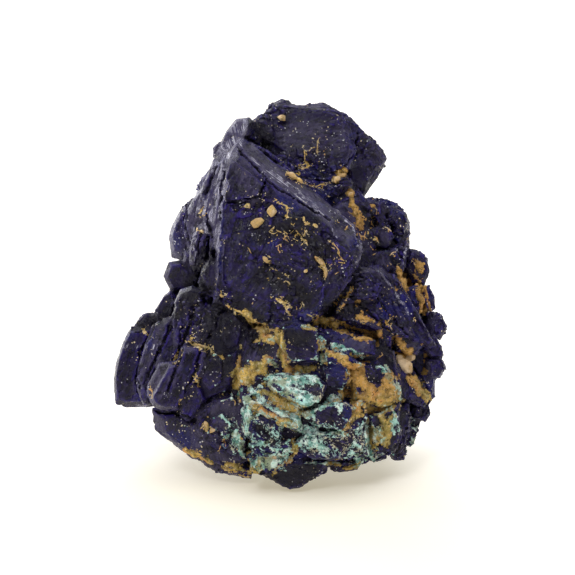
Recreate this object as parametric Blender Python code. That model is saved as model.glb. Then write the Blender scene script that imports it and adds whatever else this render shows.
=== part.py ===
# Azurite specimen: one natural group of tabular azurite crystals grown together.
# The front is laid out square-on in millimetres (right, up, out towards the viewer), then the whole
# group leans back onto its worn, flat underside. Units in the scene are metres, +Z is up.

import math
import random

import bmesh
import bpy
from mathutils import Matrix, Vector

# Driving dimensions
MM = 0.001
LEAN = math.radians(15)  # the laid-out front leans back by this much when the group stands
UNDERSIDE = 2.0  # mm between the layout's zero and the surface that the group rests on

# The massive middle that every crystal grew from: (centre, radii), both (right, up, out) in mm
CORES = (
    ((0.5, 15.5, -3.5), (15.4, 13.4, 12.4)),
    ((-0.6, 31.6, -3.5), (9.0, 10.2, 9.6)),
    ((3.5, 24.0, -2.5), (11.6, 8.6, 9.6)),
)

# How every crystal of the front is cut
BEVEL_DROP = 0.8  # a bevel falls back by this share of its width
GIRDLE_PLAY = 1.1  # mm by which the widest part of a crystal wanders in depth round its rim
ROOT_SHARES = (0.72, 0.94)  # a crystal narrows to between these shares of its outline at its root
FLAT_WITHIN = math.radians(3)  # faces that meet this nearly flat are one face

# Crystals of the front: (name, outline of the face as (right, up), how far out its middle is,
# how it leans out per mm (right, up), how its root is shifted (right, up, out), width of its bevel)
CROWN = (
    ("crown_face", ((-2.0, 45.7), (-1.0, 46.5), (0.4, 46.7), (2.7, 45.9), (5.7, 46.1), (7.4, 45.3),
                    (8.6, 43.2), (9.2, 40.8), (8.4, 38.6), (5.4, 37.2), (2.6, 38.4), (0.5, 39.6),
                    (-1.8, 42.0)),
     0.6, (0.0, -0.12), (0.5, -0.5, -6), 0.5),
    ("crown_left_lobe", ((-1.9, 45.8), (-1.4, 46.7), (0.0, 47.2), (1.0, 47.1), (1.6, 46.3), (1.1, 45.0),
                         (-1.3, 44.8)),
     -0.4, (0.05, -0.1), (0, -1, -4), 0.5),
    ("crown_right_lobe", ((2.3, 46.0), (3.4, 46.7), (5.3, 46.8), (6.1, 46.4), (7.3, 45.6), (6.0, 44.5),
                          (3.1, 44.8)),
     -0.7, (-0.1, -0.1), (0, -1, -4), 0.5),
    ("crown_flank", ((6.3, 46.2), (8.1, 45.4), (9.6, 44.0), (11.5, 42.5), (12.7, 41.1), (13.1, 40.0),
                     (12.7, 39.0), (11.3, 37.2), (10.1, 35.0), (8.5, 35.5), (7.9, 38.6), (7.2, 43.4)),
     -2.6, (-0.38, 0.05), (-1, -1, -6), 0.6),
    ("crown_shelf", ((1.9, 38.1), (4.7, 36.9), (8.1, 37.8), (8.8, 36.6), (7.1, 35.2), (5.3, 35.0),
                     (2.9, 36.2)),
     2.2, (0.0, -0.3), (0, -0.5, -4), 0.4),
    ("crown_tuck", ((6.0, 35.0), (7.6, 36.0), (9.1, 36.0), (9.6, 34.3), (8.6, 33.3), (6.9, 33.5)),
     1.2, (-0.2, 0.0), (-1, 0, -5), 0.3),
    ("crown_wing", ((-3.7, 44.3), (-2.0, 45.6), (-0.8, 44.4), (0.2, 40.6), (-2.2, 41.8), (-3.5, 43.0)),
     1.0, (-0.1, -0.1), (0, -1, -5), 0.4),
)

SHEAF = (
    ("sheaf_tip", ((-6.6, 42.9), (-5.3, 44.4), (-3.7, 44.5), (-3.2, 44.0), (-4.1, 42.4), (-5.9, 39.0),
                   (-7.2, 38.4), (-8.0, 39.6), (-7.3, 41.4)),
     5.6, (0.5, -0.2), (1.5, -1.5, -5), 0.3),
    ("sheaf_scale", ((-8.2, 39.8), (-8.1, 41.1), (-7.3, 41.7), (-7.0, 40.6), (-7.5, 39.4)),
     4.6, (0.4, 0.0), (1, -1, -4), 0.2),
    ("sheaf_edge", ((-6.9, 39.5), (-6.1, 39.6), (-6.2, 37.4), (-6.8, 34.5), (-7.3, 31.2), (-7.8, 28.6),
                    (-8.5, 27.7), (-8.4, 30.3), (-8.0, 34.1), (-7.5, 37.1)),
     7.9, (0.7, -0.02), (2, 0, -5), 0.2),
    ("sheaf_thin", ((-8.2, 36.6), (-7.4, 37.2), (-7.3, 35.0), (-7.9, 31.7), (-8.6, 29.8), (-9.2, 30.8),
                    (-9.1, 33.1), (-8.7, 35.0)),
     6.9, (0.6, 0.0), (2, 0, -5), 0.2),
    ("sheaf_inner", ((-8.0, 39.6), (-6.8, 39.4), (-7.3, 36.7), (-8.1, 34.6), (-9.3, 31.5), (-10.2, 32.0),
                     (-9.8, 34.6), (-9.0, 37.2)),
     5.7, (0.6, 0.0), (2, 0, -5), 0.3),
    ("sheaf_middle", ((-10.1, 35.6), (-8.9, 37.0), (-8.7, 35.1), (-9.3, 33.2), (-10.1, 30.8),
                      (-10.5, 28.7), (-11.3, 29.0), (-11.8, 31.3), (-11.4, 33.3)),
     4.2, (0.6, 0.0), (2, 0, -5), 0.3),
    ("sheaf_low", ((-9.9, 31.7), (-8.9, 32.2), (-8.4, 30.8), (-8.6, 28.4), (-9.3, 26.5), (-10.2, 25.6),
                   (-10.9, 27.0), (-10.9, 29.4)),
     5.9, (0.5, 0.05), (2, 0, -5), 0.3),
    ("sheaf_outer", ((-13.6, 30.4), (-13.0, 32.2), (-11.9, 34.1), (-10.7, 35.2), (-10.2, 32.9),
                     (-10.9, 29.3), (-11.6, 27.3), (-13.3, 27.8)),
     1.8, (0.45, 0.0), (2, 0, -5), 0.5),
    ("sheaf_foot", ((-9.1, 27.2), (-8.2, 27.9), (-7.0, 26.7), (-6.8, 24.5), (-6.9, 22.6), (-8.0, 22.3),
                    (-9.1, 23.0), (-9.9, 24.8)),
     7.6, (0.35, 0.05), (1, 1, -5), 0.4),
    ("sheaf_under", ((-11.6, 28.7), (-10.6, 28.9), (-9.8, 27.3), (-9.5, 25.1), (-10.4, 24.1),
                     (-11.3, 25.1), (-11.9, 27.0)),
     3.4, (0.4, 0.1), (2, 0, -5), 0.3),
    ("sheaf_stub", ((-14.2, 25.6), (-13.5, 27.3), (-12.1, 27.5), (-10.9, 26.5), (-9.8, 24.6),
                    (-10.9, 23.4), (-13.3, 23.8)),
     3.2, (0.1, 0.3), (3, 0, -6), 0.5),
)

BOOK = (
    ("far_slab", ((-20.2, 13.3), (-19.8, 15.5), (-18.9, 17.9), (-18.1, 19.6), (-15.0, 19.7), (-14.7, 17.3),
                  (-15.9, 9.7), (-18.7, 9.7), (-20.0, 10.1)),
     2.6, (0.15, 0.08), (4, 0, -6), 0.35),
    ("dark_blade_low", ((-17.6, 19.8), (-16.8, 21.0), (-15.4, 21.3), (-14.5, 20.1), (-15.7, 19.1)),
     2.8, (0.2, -0.1), (2, -1, -5), 0.3),
    ("dark_blade_high", ((-15.3, 21.3), (-14.0, 23.4), (-13.2, 23.9), (-12.4, 22.7), (-13.2, 20.1),
                         (-14.9, 19.8)),
     3.4, (0.3, -0.1), (2, -1, -5), 0.3),
    ("book_bed", ((-15.2, 19.4), (-9.5, 21.8), (-4.8, 20.4), (-4.6, 10.9), (-10.2, 5.7), (-14.7, 10.4)),
     7.0, (0.18, 0.02), (1, 0, -5), 0.4),
    ("book_fill", ((-10.8, 17.3), (-8.5, 18.3), (-5.5, 16.8), (-5.0, 14.5), (-6.2, 11.8), (-8.8, 10.8),
                   (-10.4, 11.8), (-11.0, 15.0)),
     8.8, (0.08, 0.02), (0, 0, -5), 0.3),
    ("leaf_outer", ((-15.4, 19.7), (-14.5, 20.2), (-13.6, 20.1), (-13.5, 17.7), (-14.2, 15.8),
                    (-15.3, 13.5), (-16.3, 11.8), (-16.9, 11.6), (-17.3, 13.0), (-17.0, 14.9),
                    (-16.3, 17.0)),
     6.0, (0.45, 0.0), (3, 0, -5), 0.25),
    ("leaf_outer_tip", ((-17.2, 12.5), (-16.2, 12.7), (-15.4, 11.5), (-15.4, 10.1), (-16.3, 10.1),
                        (-16.9, 11.1)),
     5.8, (0.3, 0.1), (3, 0, -5), 0.2),
    ("leaf_second", ((-14.0, 20.6), (-12.8, 20.8), (-11.4, 20.4), (-11.4, 17.3), (-12.2, 15.1),
                     (-13.7, 14.2), (-14.8, 14.1), (-14.6, 15.1), (-14.1, 17.4)),
     7.0, (0.25, -0.05), (2, 0, -5), 0.25),
    ("leaf_top", ((-11.9, 24.0), (-10.4, 24.5), (-9.1, 23.9), (-9.1, 21.0), (-10.1, 17.5), (-11.5, 16.6),
                  (-12.7, 17.2), (-13.0, 20.4), (-12.6, 22.5)),
     7.8, (0.35, -0.12), (1, -1, -5), 0.3),
    ("leaf_inner", ((-10.2, 21.9), (-8.9, 22.4), (-7.8, 21.8), (-7.8, 19.2), (-8.6, 17.4), (-9.9, 17.3),
                    (-11.3, 17.9), (-11.0, 19.7)),
     8.7, (0.3, -0.05), (1, 0, -5), 0.3),
    ("leaf_inner_rib", ((-8.4, 21.9), (-7.0, 22.1), (-6.3, 21.1), (-6.5, 18.7), (-7.6, 16.9), (-8.9, 17.4),
                        (-8.6, 19.4)),
     9.0, (0.05, 0.0), (1, 0, -5), 0.2),
    ("leaf_broad_side", ((-14.3, 15.4), (-12.8, 15.5), (-12.5, 13.5), (-13.8, 11.7), (-15.2, 10.6),
                         (-15.8, 11.3), (-15.9, 12.5), (-15.0, 14.0)),
     8.5, (0.6, 0.0), (2, 0, -6), 0.2),
    ("leaf_broad", ((-13.1, 15.5), (-11.7, 15.8), (-10.7, 14.4), (-11.0, 11.9), (-11.4, 10.1),
                    (-12.5, 9.6), (-14.0, 9.7), (-15.1, 10.2), (-15.5, 11.0), (-14.5, 12.3), (-13.5, 13.8)),
     9.7, (0.1, 0.03), (1, 0, -6), 0.35),
    ("leaf_step", ((-11.7, 17.3), (-9.5, 17.3), (-8.6, 16.6), (-8.8, 14.8), (-9.7, 12.9), (-11.1, 12.3),
                   (-11.9, 13.8), (-12.1, 15.9)),
     9.9, (0.22, -0.05), (1, 0, -5), 0.3),
    ("leaf_last", ((-11.3, 13.2), (-10.4, 13.6), (-9.1, 12.4), (-8.6, 11.0), (-9.6, 9.6), (-10.7, 8.3),
                   (-11.9, 8.9), (-11.7, 11.0)),
     9.3, (0.15, 0.05), (0, 0.5, -5), 0.3),
    ("dark_face", ((-7.7, 21.8), (-5.7, 21.8), (-3.9, 21.0), (-3.1, 19.4), (-3.6, 16.9), (-4.4, 15.4),
                   (-5.3, 13.8), (-5.9, 12.2), (-7.8, 11.2), (-9.2, 11.9), (-9.8, 13.6), (-9.1, 16.2),
                   (-8.4, 18.3)),
     9.2, (0.0, 0.02), (0, 0, -6), 0.4),
    ("dark_face_high", ((-6.7, 21.3), (-5.2, 21.3), (-4.2, 20.0), (-4.9, 17.3), (-6.4, 16.6), (-7.1, 18.5)),
     9.8, (-0.12, 0.05), (0, 0, -2), 0.25),
    ("dark_face_low", ((-9.1, 15.5), (-7.8, 16.6), (-6.7, 15.7), (-6.8, 12.9), (-8.3, 12.0), (-9.2, 13.2)),
     9.9, (0.1, 0.1), (0, 0, -2), 0.25),
    ("dark_face_rib", ((-6.4, 16.6), (-5.0, 16.9), (-5.0, 15.0), (-6.1, 12.9), (-7.0, 12.9), (-6.9, 15.2)),
     9.6, (-0.1, 0.1), (0, 0, -2), 0.2),
    ("under_leaf", ((-15.4, 9.9), (-13.5, 10.2), (-11.2, 9.5), (-8.8, 8.0), (-8.1, 6.2), (-9.5, 3.6),
                    (-10.7, 3.8), (-11.5, 5.0), (-11.8, 5.9), (-13.9, 6.4), (-15.0, 7.2)),
     7.0, (0.2, 0.3), (2, 1, -6), 0.4),
    ("under_fill", ((-10.9, 8.1), (-8.8, 9.0), (-4.8, 6.7), (-3.6, 3.8), (-5.7, 2.6), (-8.8, 3.5),
                    (-10.7, 5.0)),
     7.6, (0.1, 0.25), (1, 1, -5), 0.3),
    ("under_face", ((-9.9, 9.5), (-7.8, 11.0), (-5.7, 11.7), (-4.1, 10.5), (-3.6, 7.2), (-4.1, 4.4),
                    (-5.9, 3.9), (-8.8, 5.5), (-10.2, 7.4)),
     8.6, (0.05, 0.25), (0, 1, -5), 0.4),
    ("under_face_plate", ((-9.0, 8.6), (-6.9, 9.6), (-5.5, 8.2), (-6.2, 6.1), (-8.5, 6.5)),
     9.2, (0.05, 0.25), (0, 0, -2), 0.25),
    ("under_chip", ((-11.6, 5.4), (-10.5, 4.7), (-7.8, 3.7), (-4.8, 3.2), (-3.4, 2.5), (-3.4, 1.3),
                    (-5.4, 2.3), (-7.8, 2.1), (-9.6, 3.4)),
     6.0, (0.15, 0.25), (1, 2, -5), 0.25),
)

HEART = (
    ("bed", ((-4.1, 19.2), (0.5, 20.2), (5.8, 19.2), (7.0, 15.7), (7.6, 11.0), (7.0, 5.7), (2.3, 3.8),
             (-3.0, 4.5), (-4.7, 8.7), (-5.0, 14.5)),
     10.0, (-0.02, 0.02), (0, 0, -6), 0.4),
    ("bed_right", ((7.0, 16.8), (10.8, 17.4), (13.5, 16.8), (14.7, 12.7), (14.1, 7.9), (13.5, 4.4),
                   (9.4, 3.2), (7.3, 5.0)),
     7.2, (-0.35, 0.03), (0, 0, -5), 0.4),
    ("bed_step", ((-3.6, 17.5), (-0.8, 18.6), (0.2, 17.4), (-0.1, 15.2), (-2.8, 14.0), (-4.2, 15.2)),
     10.7, (-0.1, 0.15), (0, 0, -3), 0.3),
    ("cube", ((0.3, 19.6), (2.3, 20.1), (4.4, 19.3), (4.7, 17.5), (4.4, 15.5), (0.9, 15.3), (-0.0, 17.5)),
     12.0, (-0.05, 0.1), (0, 0, -6), 0.25),
    ("lens", ((-2.1, 13.7), (-0.0, 14.3), (4.4, 13.9), (5.5, 12.8), (4.8, 11.1), (2.9, 10.2), (0.5, 11.4),
              (-1.4, 12.5)),
     12.4, (0.0, -0.42), (0, 0, -5), 0.2),
    ("lens_bed", ((-4.2, 12.5), (-2.6, 13.2), (2.9, 10.1), (3.7, 8.7), (0.5, 9.7), (-2.1, 10.8)),
     11.2, (0.0, -0.2), (0, 0, -4), 0.2),
    ("rib", ((-4.0, 11.3), (-2.6, 11.1), (2.3, 8.8), (2.7, 7.6), (1.4, 7.6), (-2.1, 9.3), (-4.0, 10.2)),
     12.1, (0.0, -0.1), (0, 0.5, -4), 0.2),
    ("pocket_stone", ((-3.5, 9.3), (-2.1, 9.7), (-0.0, 8.5), (0.2, 6.6), (-1.4, 5.9), (-3.5, 6.4)),
     11.2, (0.0, 0.1), (0, 0, -4), 0.25),
    ("pocket_sill", ((-3.8, 5.9), (-2.1, 6.2), (1.1, 6.4), (2.1, 5.0), (-1.0, 4.3), (-3.5, 4.5)),
     11.0, (0.0, 0.15), (0, 0.5, -4), 0.2),
    ("pocket_jamb", ((-4.5, 11.6), (-3.4, 12.0), (-3.1, 9.5), (-3.2, 7.4), (-4.1, 7.1)),
     11.7, (0.1, 0.0), (0, 0, -4), 0.2),
    ("pale_step", ((-3.8, 4.2), (-2.2, 4.5), (1.4, 4.2), (0.5, 2.8), (-2.2, 1.9), (-3.6, 2.3)),
     9.9, (0.0, 0.3), (0, 1, -5), 0.2),
    ("keel", ((-2.2, 2.0), (-0.6, 3.0), (1.4, 4.1), (3.7, 3.9), (5.8, 3.7), (5.6, 2.5), (3.5, 1.3),
              (2.3, 0.4), (1.1, 0.3), (-0.3, 1.0)),
     8.8, (0.0, 0.25), (0, 2.5, -6), 0.4),
    ("keel_chip", ((5.7, 3.4), (7.7, 3.6), (9.7, 3.2), (9.2, 2.3), (6.9, 2.0), (5.8, 2.4)),
     4.8, (-0.1, 0.1), (0, 2, -4), 0.25),
    ("stud_left", ((10.9, 4.6), (11.4, 5.3), (12.7, 5.2), (12.8, 3.7), (11.0, 3.2)),
     5.2, (-0.2, 0.1), (0, 1, -4), 0.2),
    ("stud_right", ((13.2, 5.0), (15.2, 5.2), (15.3, 4.2), (14.9, 3.4), (13.4, 3.4)),
     3.0, (-0.3, 0.1), (-1, 1, -4), 0.2),
    ("wedge", ((2.9, 9.7), (4.6, 10.6), (7.5, 10.9), (8.8, 10.2), (8.3, 8.3), (7.2, 7.4), (4.4, 8.1)),
     12.0, (-0.1, 0.0), (0, 0, -5), 0.25),
    ("wedge_wall", ((7.3, 7.3), (8.6, 10.6), (10.0, 11.1), (10.2, 9.0), (9.5, 7.3)),
     11.0, (-0.25, 0.0), (0, 0, -4), 0.2),
    ("apron", ((1.4, 5.7), (2.8, 7.3), (7.6, 7.1), (10.0, 7.5), (10.5, 4.5), (7.6, 3.8), (3.7, 4.0)),
     10.6, (-0.12, 0.2), (0, 1, -5), 0.3),
    ("ochre_upper", ((8.2, 15.0), (11.5, 15.7), (13.6, 13.6), (13.8, 10.7), (11.2, 10.0), (8.6, 11.0)),
     9.0, (-0.3, -0.1), (0, 0, -5), 0.4),
    ("ochre_lower", ((10.1, 9.5), (13.9, 10.4), (14.4, 6.2), (13.4, 4.1), (11.0, 4.3)),
     7.6, (-0.35, 0.15), (0, 1, -5), 0.4),
    ("blue_block", ((4.9, 15.0), (7.7, 15.5), (8.4, 13.6), (7.2, 12.0), (5.3, 12.5)),
     10.9, (0.0, 0.0), (0, 0, -4), 0.25),
    ("teal_shelf", ((4.9, 19.2), (7.6, 19.0), (11.4, 18.0), (11.2, 16.2), (7.6, 16.4), (5.3, 17.6)),
     9.6, (-0.15, -0.3), (0, 0, -5), 0.3),
    ("ochre_shelf", ((4.9, 16.9), (7.5, 16.7), (10.0, 15.0), (7.5, 14.8), (5.2, 15.5)),
     10.9, (-0.15, -0.2), (0, 0, -4), 0.2),
)

RIGHT = (
    ("valley", ((8.2, 26.0), (9.7, 26.7), (11.8, 27.0), (13.2, 25.7), (13.9, 22.7), (15.6, 20.1),
                (17.0, 17.5), (14.2, 18.2), (11.2, 19.2), (8.2, 19.8), (5.9, 20.6), (6.8, 22.7)),
     6.6, (-0.3, -0.15), (0, -1, -5), 0.4),
    ("valley_high", ((8.4, 25.1), (10.8, 26.0), (12.2, 24.6), (11.3, 22.7), (8.9, 22.7)),
     7.6, (-0.3, -0.3), (0, 0, -3), 0.3),
    ("valley_low", ((9.6, 22.7), (12.4, 23.2), (13.7, 20.6), (11.8, 19.6), (9.6, 20.6)),
     6.9, (-0.2, -0.2), (0, 0, -3), 0.3),
    ("valley_left", ((6.8, 22.7), (8.7, 23.0), (8.9, 20.6), (6.5, 20.6)),
     8.4, (-0.3, 0.1), (0, 0, -3), 0.3),
    ("ridge", ((13.0, 26.0), (13.7, 25.8), (14.7, 23.0), (16.6, 20.1), (18.7, 17.2), (17.8, 16.8),
               (15.9, 19.1), (14.2, 22.0)),
     5.6, (-0.3, 0.0), (-1.5, 0, -6), 0.3),
    ("shoulder", ((9.9, 34.8), (11.1, 35.2), (12.4, 35.0), (14.1, 34.6), (15.1, 33.6), (15.8, 32.1),
                  (15.8, 29.4), (13.9, 28.1), (11.1, 28.1), (9.9, 30.6)),
     -0.2, (-0.3, -0.1), (-1, 0, -5), 0.5),
    ("shoulder_top", ((11.4, 34.6), (13.0, 34.9), (14.2, 34.3), (13.9, 32.1), (12.0, 31.6), (11.3, 33.1)),
     1.2, (-0.2, -0.15), (0, 0, -3), 0.3),
    ("shoulder_side", ((13.9, 33.8), (15.2, 33.3), (15.6, 31.9), (14.9, 30.4), (13.7, 30.9)),
     0.6, (-0.3, 0.0), (0, 0, -3), 0.3),
    ("shoulder_low", ((11.0, 31.6), (12.9, 31.8), (13.7, 30.4), (12.9, 28.7), (11.0, 29.0)),
     1.8, (0.1, 0.1), (0, 0, -3), 0.25),
    ("shoulder_near", ((9.8, 30.9), (11.1, 31.1), (11.5, 29.2), (10.7, 27.3), (9.7, 28.1)),
     2.6, (0.1, 0.0), (0, 0, -4), 0.25),
    ("bright_prism", ((13.5, 28.9), (14.3, 29.5), (15.3, 28.9), (15.0, 26.5), (14.3, 25.1), (13.5, 25.6)),
     3.0, (-0.5, 0.0), (-1, 0, -5), 0.25),
    ("prism_left", ((11.4, 28.5), (13.4, 28.7), (13.6, 26.3), (12.4, 25.6), (11.4, 26.8)),
     3.2, (-0.1, 0.1), (0, 0, -4), 0.25),
    ("rind_upper", ((15.6, 29.1), (16.9, 28.8), (18.1, 27.8), (18.3, 26.1), (17.7, 24.6), (16.0, 24.6),
                    (15.2, 26.6)),
     -1.0, (-0.25, 0.0), (-2, 0, -5), 0.4),
    ("slab_left", ((15.3, 24.1), (16.6, 24.6), (17.3, 22.7), (16.8, 20.5), (15.8, 21.5)),
     1.6, (-0.2, 0.0), (-1, 0, -5), 0.25),
    ("slab_right", ((17.1, 24.4), (18.1, 24.6), (18.8, 22.9), (18.8, 21.5), (17.6, 20.5)),
     0.4, (-0.25, 0.0), (-2, 0, -5), 0.25),
    ("knob", ((18.1, 20.5), (19.0, 21.4), (19.7, 21.0), (20.4, 19.5), (20.2, 18.7), (19.3, 17.7),
              (18.2, 18.3)),
     -0.4, (-0.1, 0.0), (-3, 0, -4), 0.45),
    ("tooth_1", ((17.3, 18.4), (18.7, 18.6), (19.6, 17.0), (19.8, 15.8), (18.3, 15.7), (17.3, 16.9)),
     1.4, (-0.2, 0.0), (-2, 0, -5), 0.25),
    ("tooth_2", ((17.8, 15.7), (19.6, 15.6), (20.2, 14.4), (19.3, 13.1), (18.0, 13.3)),
     1.6, (-0.25, 0.0), (-2, 0, -5), 0.3),
    ("tooth_3", ((17.0, 13.6), (18.7, 13.6), (18.5, 12.1), (18.8, 11.0), (17.7, 10.3), (16.8, 11.1)),
     2.0, (-0.3, 0.0), (-2, 0, -5), 0.3),
    ("tooth_4", ((16.1, 10.4), (17.7, 10.4), (18.3, 8.8), (17.3, 7.8), (15.8, 8.2)),
     1.8, (-0.3, 0.1), (-2, 0, -5), 0.3),
    ("tooth_5", ((15.3, 8.2), (16.8, 7.8), (16.5, 6.2), (15.7, 4.8), (14.9, 5.1)),
     1.8, (-0.3, 0.1), (-2, 1, -5), 0.3),
    ("slant_slab", ((11.6, 16.8), (12.8, 16.5), (15.6, 12.6), (18.0, 10.6), (17.5, 9.6), (15.4, 10.6),
                    (13.0, 12.3), (11.6, 14.6)),
     5.6, (-0.35, 0.05), (-1, 0, -5), 0.3),
    ("dark_post", ((11.6, 18.8), (13.2, 18.7), (13.2, 16.6), (11.8, 16.6)),
     6.6, (-0.1, 0.0), (0, 0, -5), 0.25),
    ("right_block", ((13.4, 19.1), (15.7, 18.9), (17.1, 17.2), (16.4, 16.0), (13.8, 16.5)),
     4.4, (-0.25, 0.0), (-1, 0, -5), 0.35),
    ("niche_sill", ((13.8, 13.8), (16.2, 14.1), (17.2, 11.7), (15.7, 12.2)),
     3.6, (-0.3, 0.1), (-1, 0, -4), 0.3),
    ("low_corner", ((13.8, 10.8), (15.4, 10.5), (15.9, 7.8), (15.0, 4.8), (13.8, 4.1)),
     4.6, (-0.3, 0.1), (-1, 1, -5), 0.35),
)


# Thick crystals behind the rim, which close the gaps between the crystals in front of them
BACKING = (
    ("behind_shoulder", ((8.6, 34.2), (11.6, 34.6), (14.6, 32.6), (14.8, 29.0), (11.8, 26.4), (7.6, 27.6)),
     -3.0, (-0.12, -0.1), (-2, -1, -5), 0.6),
    ("behind_rind", ((11.2, 27.8), (14.8, 28.6), (17.0, 26.4), (18.0, 22.4), (15.4, 19.6), (10.8, 21.0)),
     -2.2, (-0.2, 0.05), (-2, 1, -5), 0.6),
    ("behind_teeth", ((11.6, 20.6), (17.8, 20.2), (18.8, 16.6), (17.8, 13.0), (13.0, 12.2)),
     -1.6, (-0.15, -0.1), (-2, 0, -6), 0.6),
    ("behind_corner", ((10.4, 14.0), (16.8, 13.6), (17.0, 9.6), (14.6, 5.4), (10.6, 4.4), (8.4, 9.0)),
     -2.6, (-0.1, 0.1), (-2, 1, -6), 0.6),
    ("behind_great", ((5.6, 33.6), (9.4, 36.2), (11.2, 33.8), (10.6, 28.6), (7.0, 28.0)),
     2.4, (-0.2, -0.1), (-1, -1, -6), 0.4),
    ("behind_rim_low", ((12.4, 17.8), (17.8, 17.2), (17.6, 13.6), (15.8, 8.2), (12.2, 8.0)),
     0.6, (-0.2, 0.0), (-1, 0, -5), 0.4),
    ("behind_crown", ((-2.6, 43.0), (0.6, 45.0), (5.8, 44.6), (9.6, 42.0), (10.8, 38.8), (8.2, 35.8),
                      (-1.6, 36.6)),
     -4.6, (-0.1, 0.05), (-1, -1, -5), 0.6),
)

# The great tablet in front has one broad bevel, so its face and its shoulder have outlines of their own
GREAT_FACE = ((-5.9, 40.0), (-1.5, 36.7), (2.3, 33.8), (5.8, 31.1), (8.4, 28.6), (8.7, 26.7), (7.6, 24.5),
              (5.6, 21.9), (3.2, 19.9), (-0.5, 19.4), (-3.3, 20.5), (-7.6, 22.5), (-7.3, 28.0),
              (-6.9, 34.5))
GREAT_SHOULDER = ((-4.7, 42.0), (-1.5, 40.6), (0.4, 38.8), (3.5, 35.7), (6.8, 33.1), (9.2, 31.0),
                  (9.6, 29.2), (9.3, 27.0), (8.2, 25.3), (6.1, 22.1), (3.6, 19.7), (-0.5, 19.1),
                  (-3.6, 20.1), (-8.0, 22.1), (-7.7, 28.0), (-7.3, 34.5), (-6.4, 40.2))
GREAT_OUT = 9.6  # mm out to the middle of its face
GREAT_SHOULDER_OUT = 7.2  # mm out to the middle of its shoulder
# Raised growth plates on its face: (name, outline, height in mm)
GREAT_PLATES = (
    ("great_panel", ((-5.8, 39.4), (-2.2, 36.6), (-1.2, 35.6), (-2.2, 34.6), (-4.7, 34.3), (-6.6, 34.6),
                     (-6.4, 37.4)), 0.4),
    ("great_corner", ((4.9, 30.7), (7.0, 29.3), (8.6, 28.1), (8.6, 26.7), (7.4, 24.8), (6.7, 26.3),
                      (6.5, 28.0)), 0.35),
    ("great_long", ((-6.8, 30.4), (-2.2, 31.2), (2.3, 30.2), (4.9, 27.7), (4.9, 24.5), (2.3, 22.1),
                    (-2.2, 22.7), (-6.8, 24.5)), 0.18),
)
GREAT_THICKNESS = 8.5  # mm from the great tablet's shoulder back to its root
GREAT_ROOT_SHIFT = (0.8, -0.6)  # mm that its root lies to the right and down of its face
GREAT_TILT = (0.02, -0.08)
GREAT_PLATE_DEPTH = 2.0  # mm that a raised growth plate reaches down into the great tablet

# The sides and the back, which the laid-out front doesn't show: broad tablets lie over each core like
# shingles, and packs of parallel blades stand out between them
HIDDEN_SEED = 41
PLACES_PER_CORE = (52, 44, 30)  # places spread over each whole core, of which the front's stay empty
FRONT_LIMIT = 0.16  # nothing hidden grows in front of this share of a core's reach to the viewer
PACK_EVERY = 4  # one place in this many has a pack of blades, the others a shingle
PACK_BLADES = (2, 3)
BLADE_LENGTH = (4.0, 6.4)  # half lengths, mm
BLADE_WIDTH = (2.4, 4.0)  # half widths, mm
BLADE_THICKNESS = (1.3, 2.7)  # full thickness, mm
BLADE_SINK = (0.62, 0.8)  # share of its half length by which a blade's middle lies inside the core
BLADE_LEAN = math.radians(30)  # the most that a pack leans from square to the core
SHINGLE_LENGTH = (4.2, 7.6)  # half lengths, mm
SHINGLE_WIDTH = (3.2, 4.8)  # half widths, mm
SHINGLE_THICKNESS = (3.0, 4.6)  # full thickness, mm
SHINGLE_SINK = (0.12, 0.34)  # share of its thickness by which a shingle's middle lies inside the core
SHINGLE_TILT = math.radians(30)  # the most that a shingle tips up from lying flat on the core
BLADE_STEP = (0.7, 0.95)  # from one blade of a pack to the next, as a share of its thickness
BURIED = 0.8  # a place this deep in another core, as a share of its squared reach, stays empty
CORNER_PLAY = 0.2  # how far a corner wanders round the rim, as a share of the way to the next
RIM_PLAY = 0.2  # how far a rim wanders off the middle of a blade's thickness
BLADE_CORNERS = 6
BLADE_FACE = 0.82  # a blade's flat faces are this share of its rim


def stand(right, up, out):
    """A point of the layout, in mm, as a point of the standing group, in metres."""
    return MM * Vector(
        (
            right,
            up * math.sin(LEAN) - out * math.cos(LEAN),
            up * math.cos(LEAN) + out * math.sin(LEAN) - UNDERSIDE,
        )
    )


def clear_scene():
    for obj in list(bpy.data.objects):
        bpy.data.objects.remove(obj, do_unlink=True)


def collection(name, parent):
    made = bpy.data.collections.new(name)
    parent.children.link(made)
    return made


def helper_object(name, bm, home):
    """An object that only shapes the cluster: drawn as wire and never rendered."""
    bmesh.ops.recalc_face_normals(bm, faces=bm.faces)
    mesh = bpy.data.meshes.new(name)
    bm.to_mesh(mesh)
    bm.free()
    obj = bpy.data.objects.new(name, mesh)
    obj.display_type = "WIRE"
    obj.hide_render = True
    home.objects.link(obj)
    return obj


def hull_object(name, points, home):
    """One closed convex crystal through the outermost of these points."""
    bm = bmesh.new()
    for point in points:
        bm.verts.new(point)
    made = bmesh.ops.convex_hull(bm, input=bm.verts)
    spare = {v for v in made["geom_interior"] if isinstance(v, bmesh.types.BMVert)}
    spare |= {v for v in bm.verts if not v.link_faces}
    bmesh.ops.delete(bm, geom=list(spare), context="VERTS")
    bmesh.ops.dissolve_limit(bm, angle_limit=FLAT_WITHIN, verts=bm.verts, edges=bm.edges)
    return helper_object(name, bm, home)


def middle(outline):
    return (
        sum(p[0] for p in outline) / len(outline),
        sum(p[1] for p in outline) / len(outline),
    )


def section(outline, out, tilt, share=1.0, shift=(0, 0, 0), play=None):
    """An outline on the crystal's leaning face plane, drawn in to a share of its size and shifted."""
    mid = middle(outline)
    points = []
    for right, up in outline:
        right = mid[0] + (right - mid[0]) * share
        up = mid[1] + (up - mid[1]) * share
        level = out + tilt[0] * (right - mid[0]) + tilt[1] * (up - mid[1])
        if play:
            level -= play.uniform(0, GIRDLE_PLAY)
        points.append(stand(right + shift[0], up + shift[1], level + shift[2]))
    return points


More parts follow.
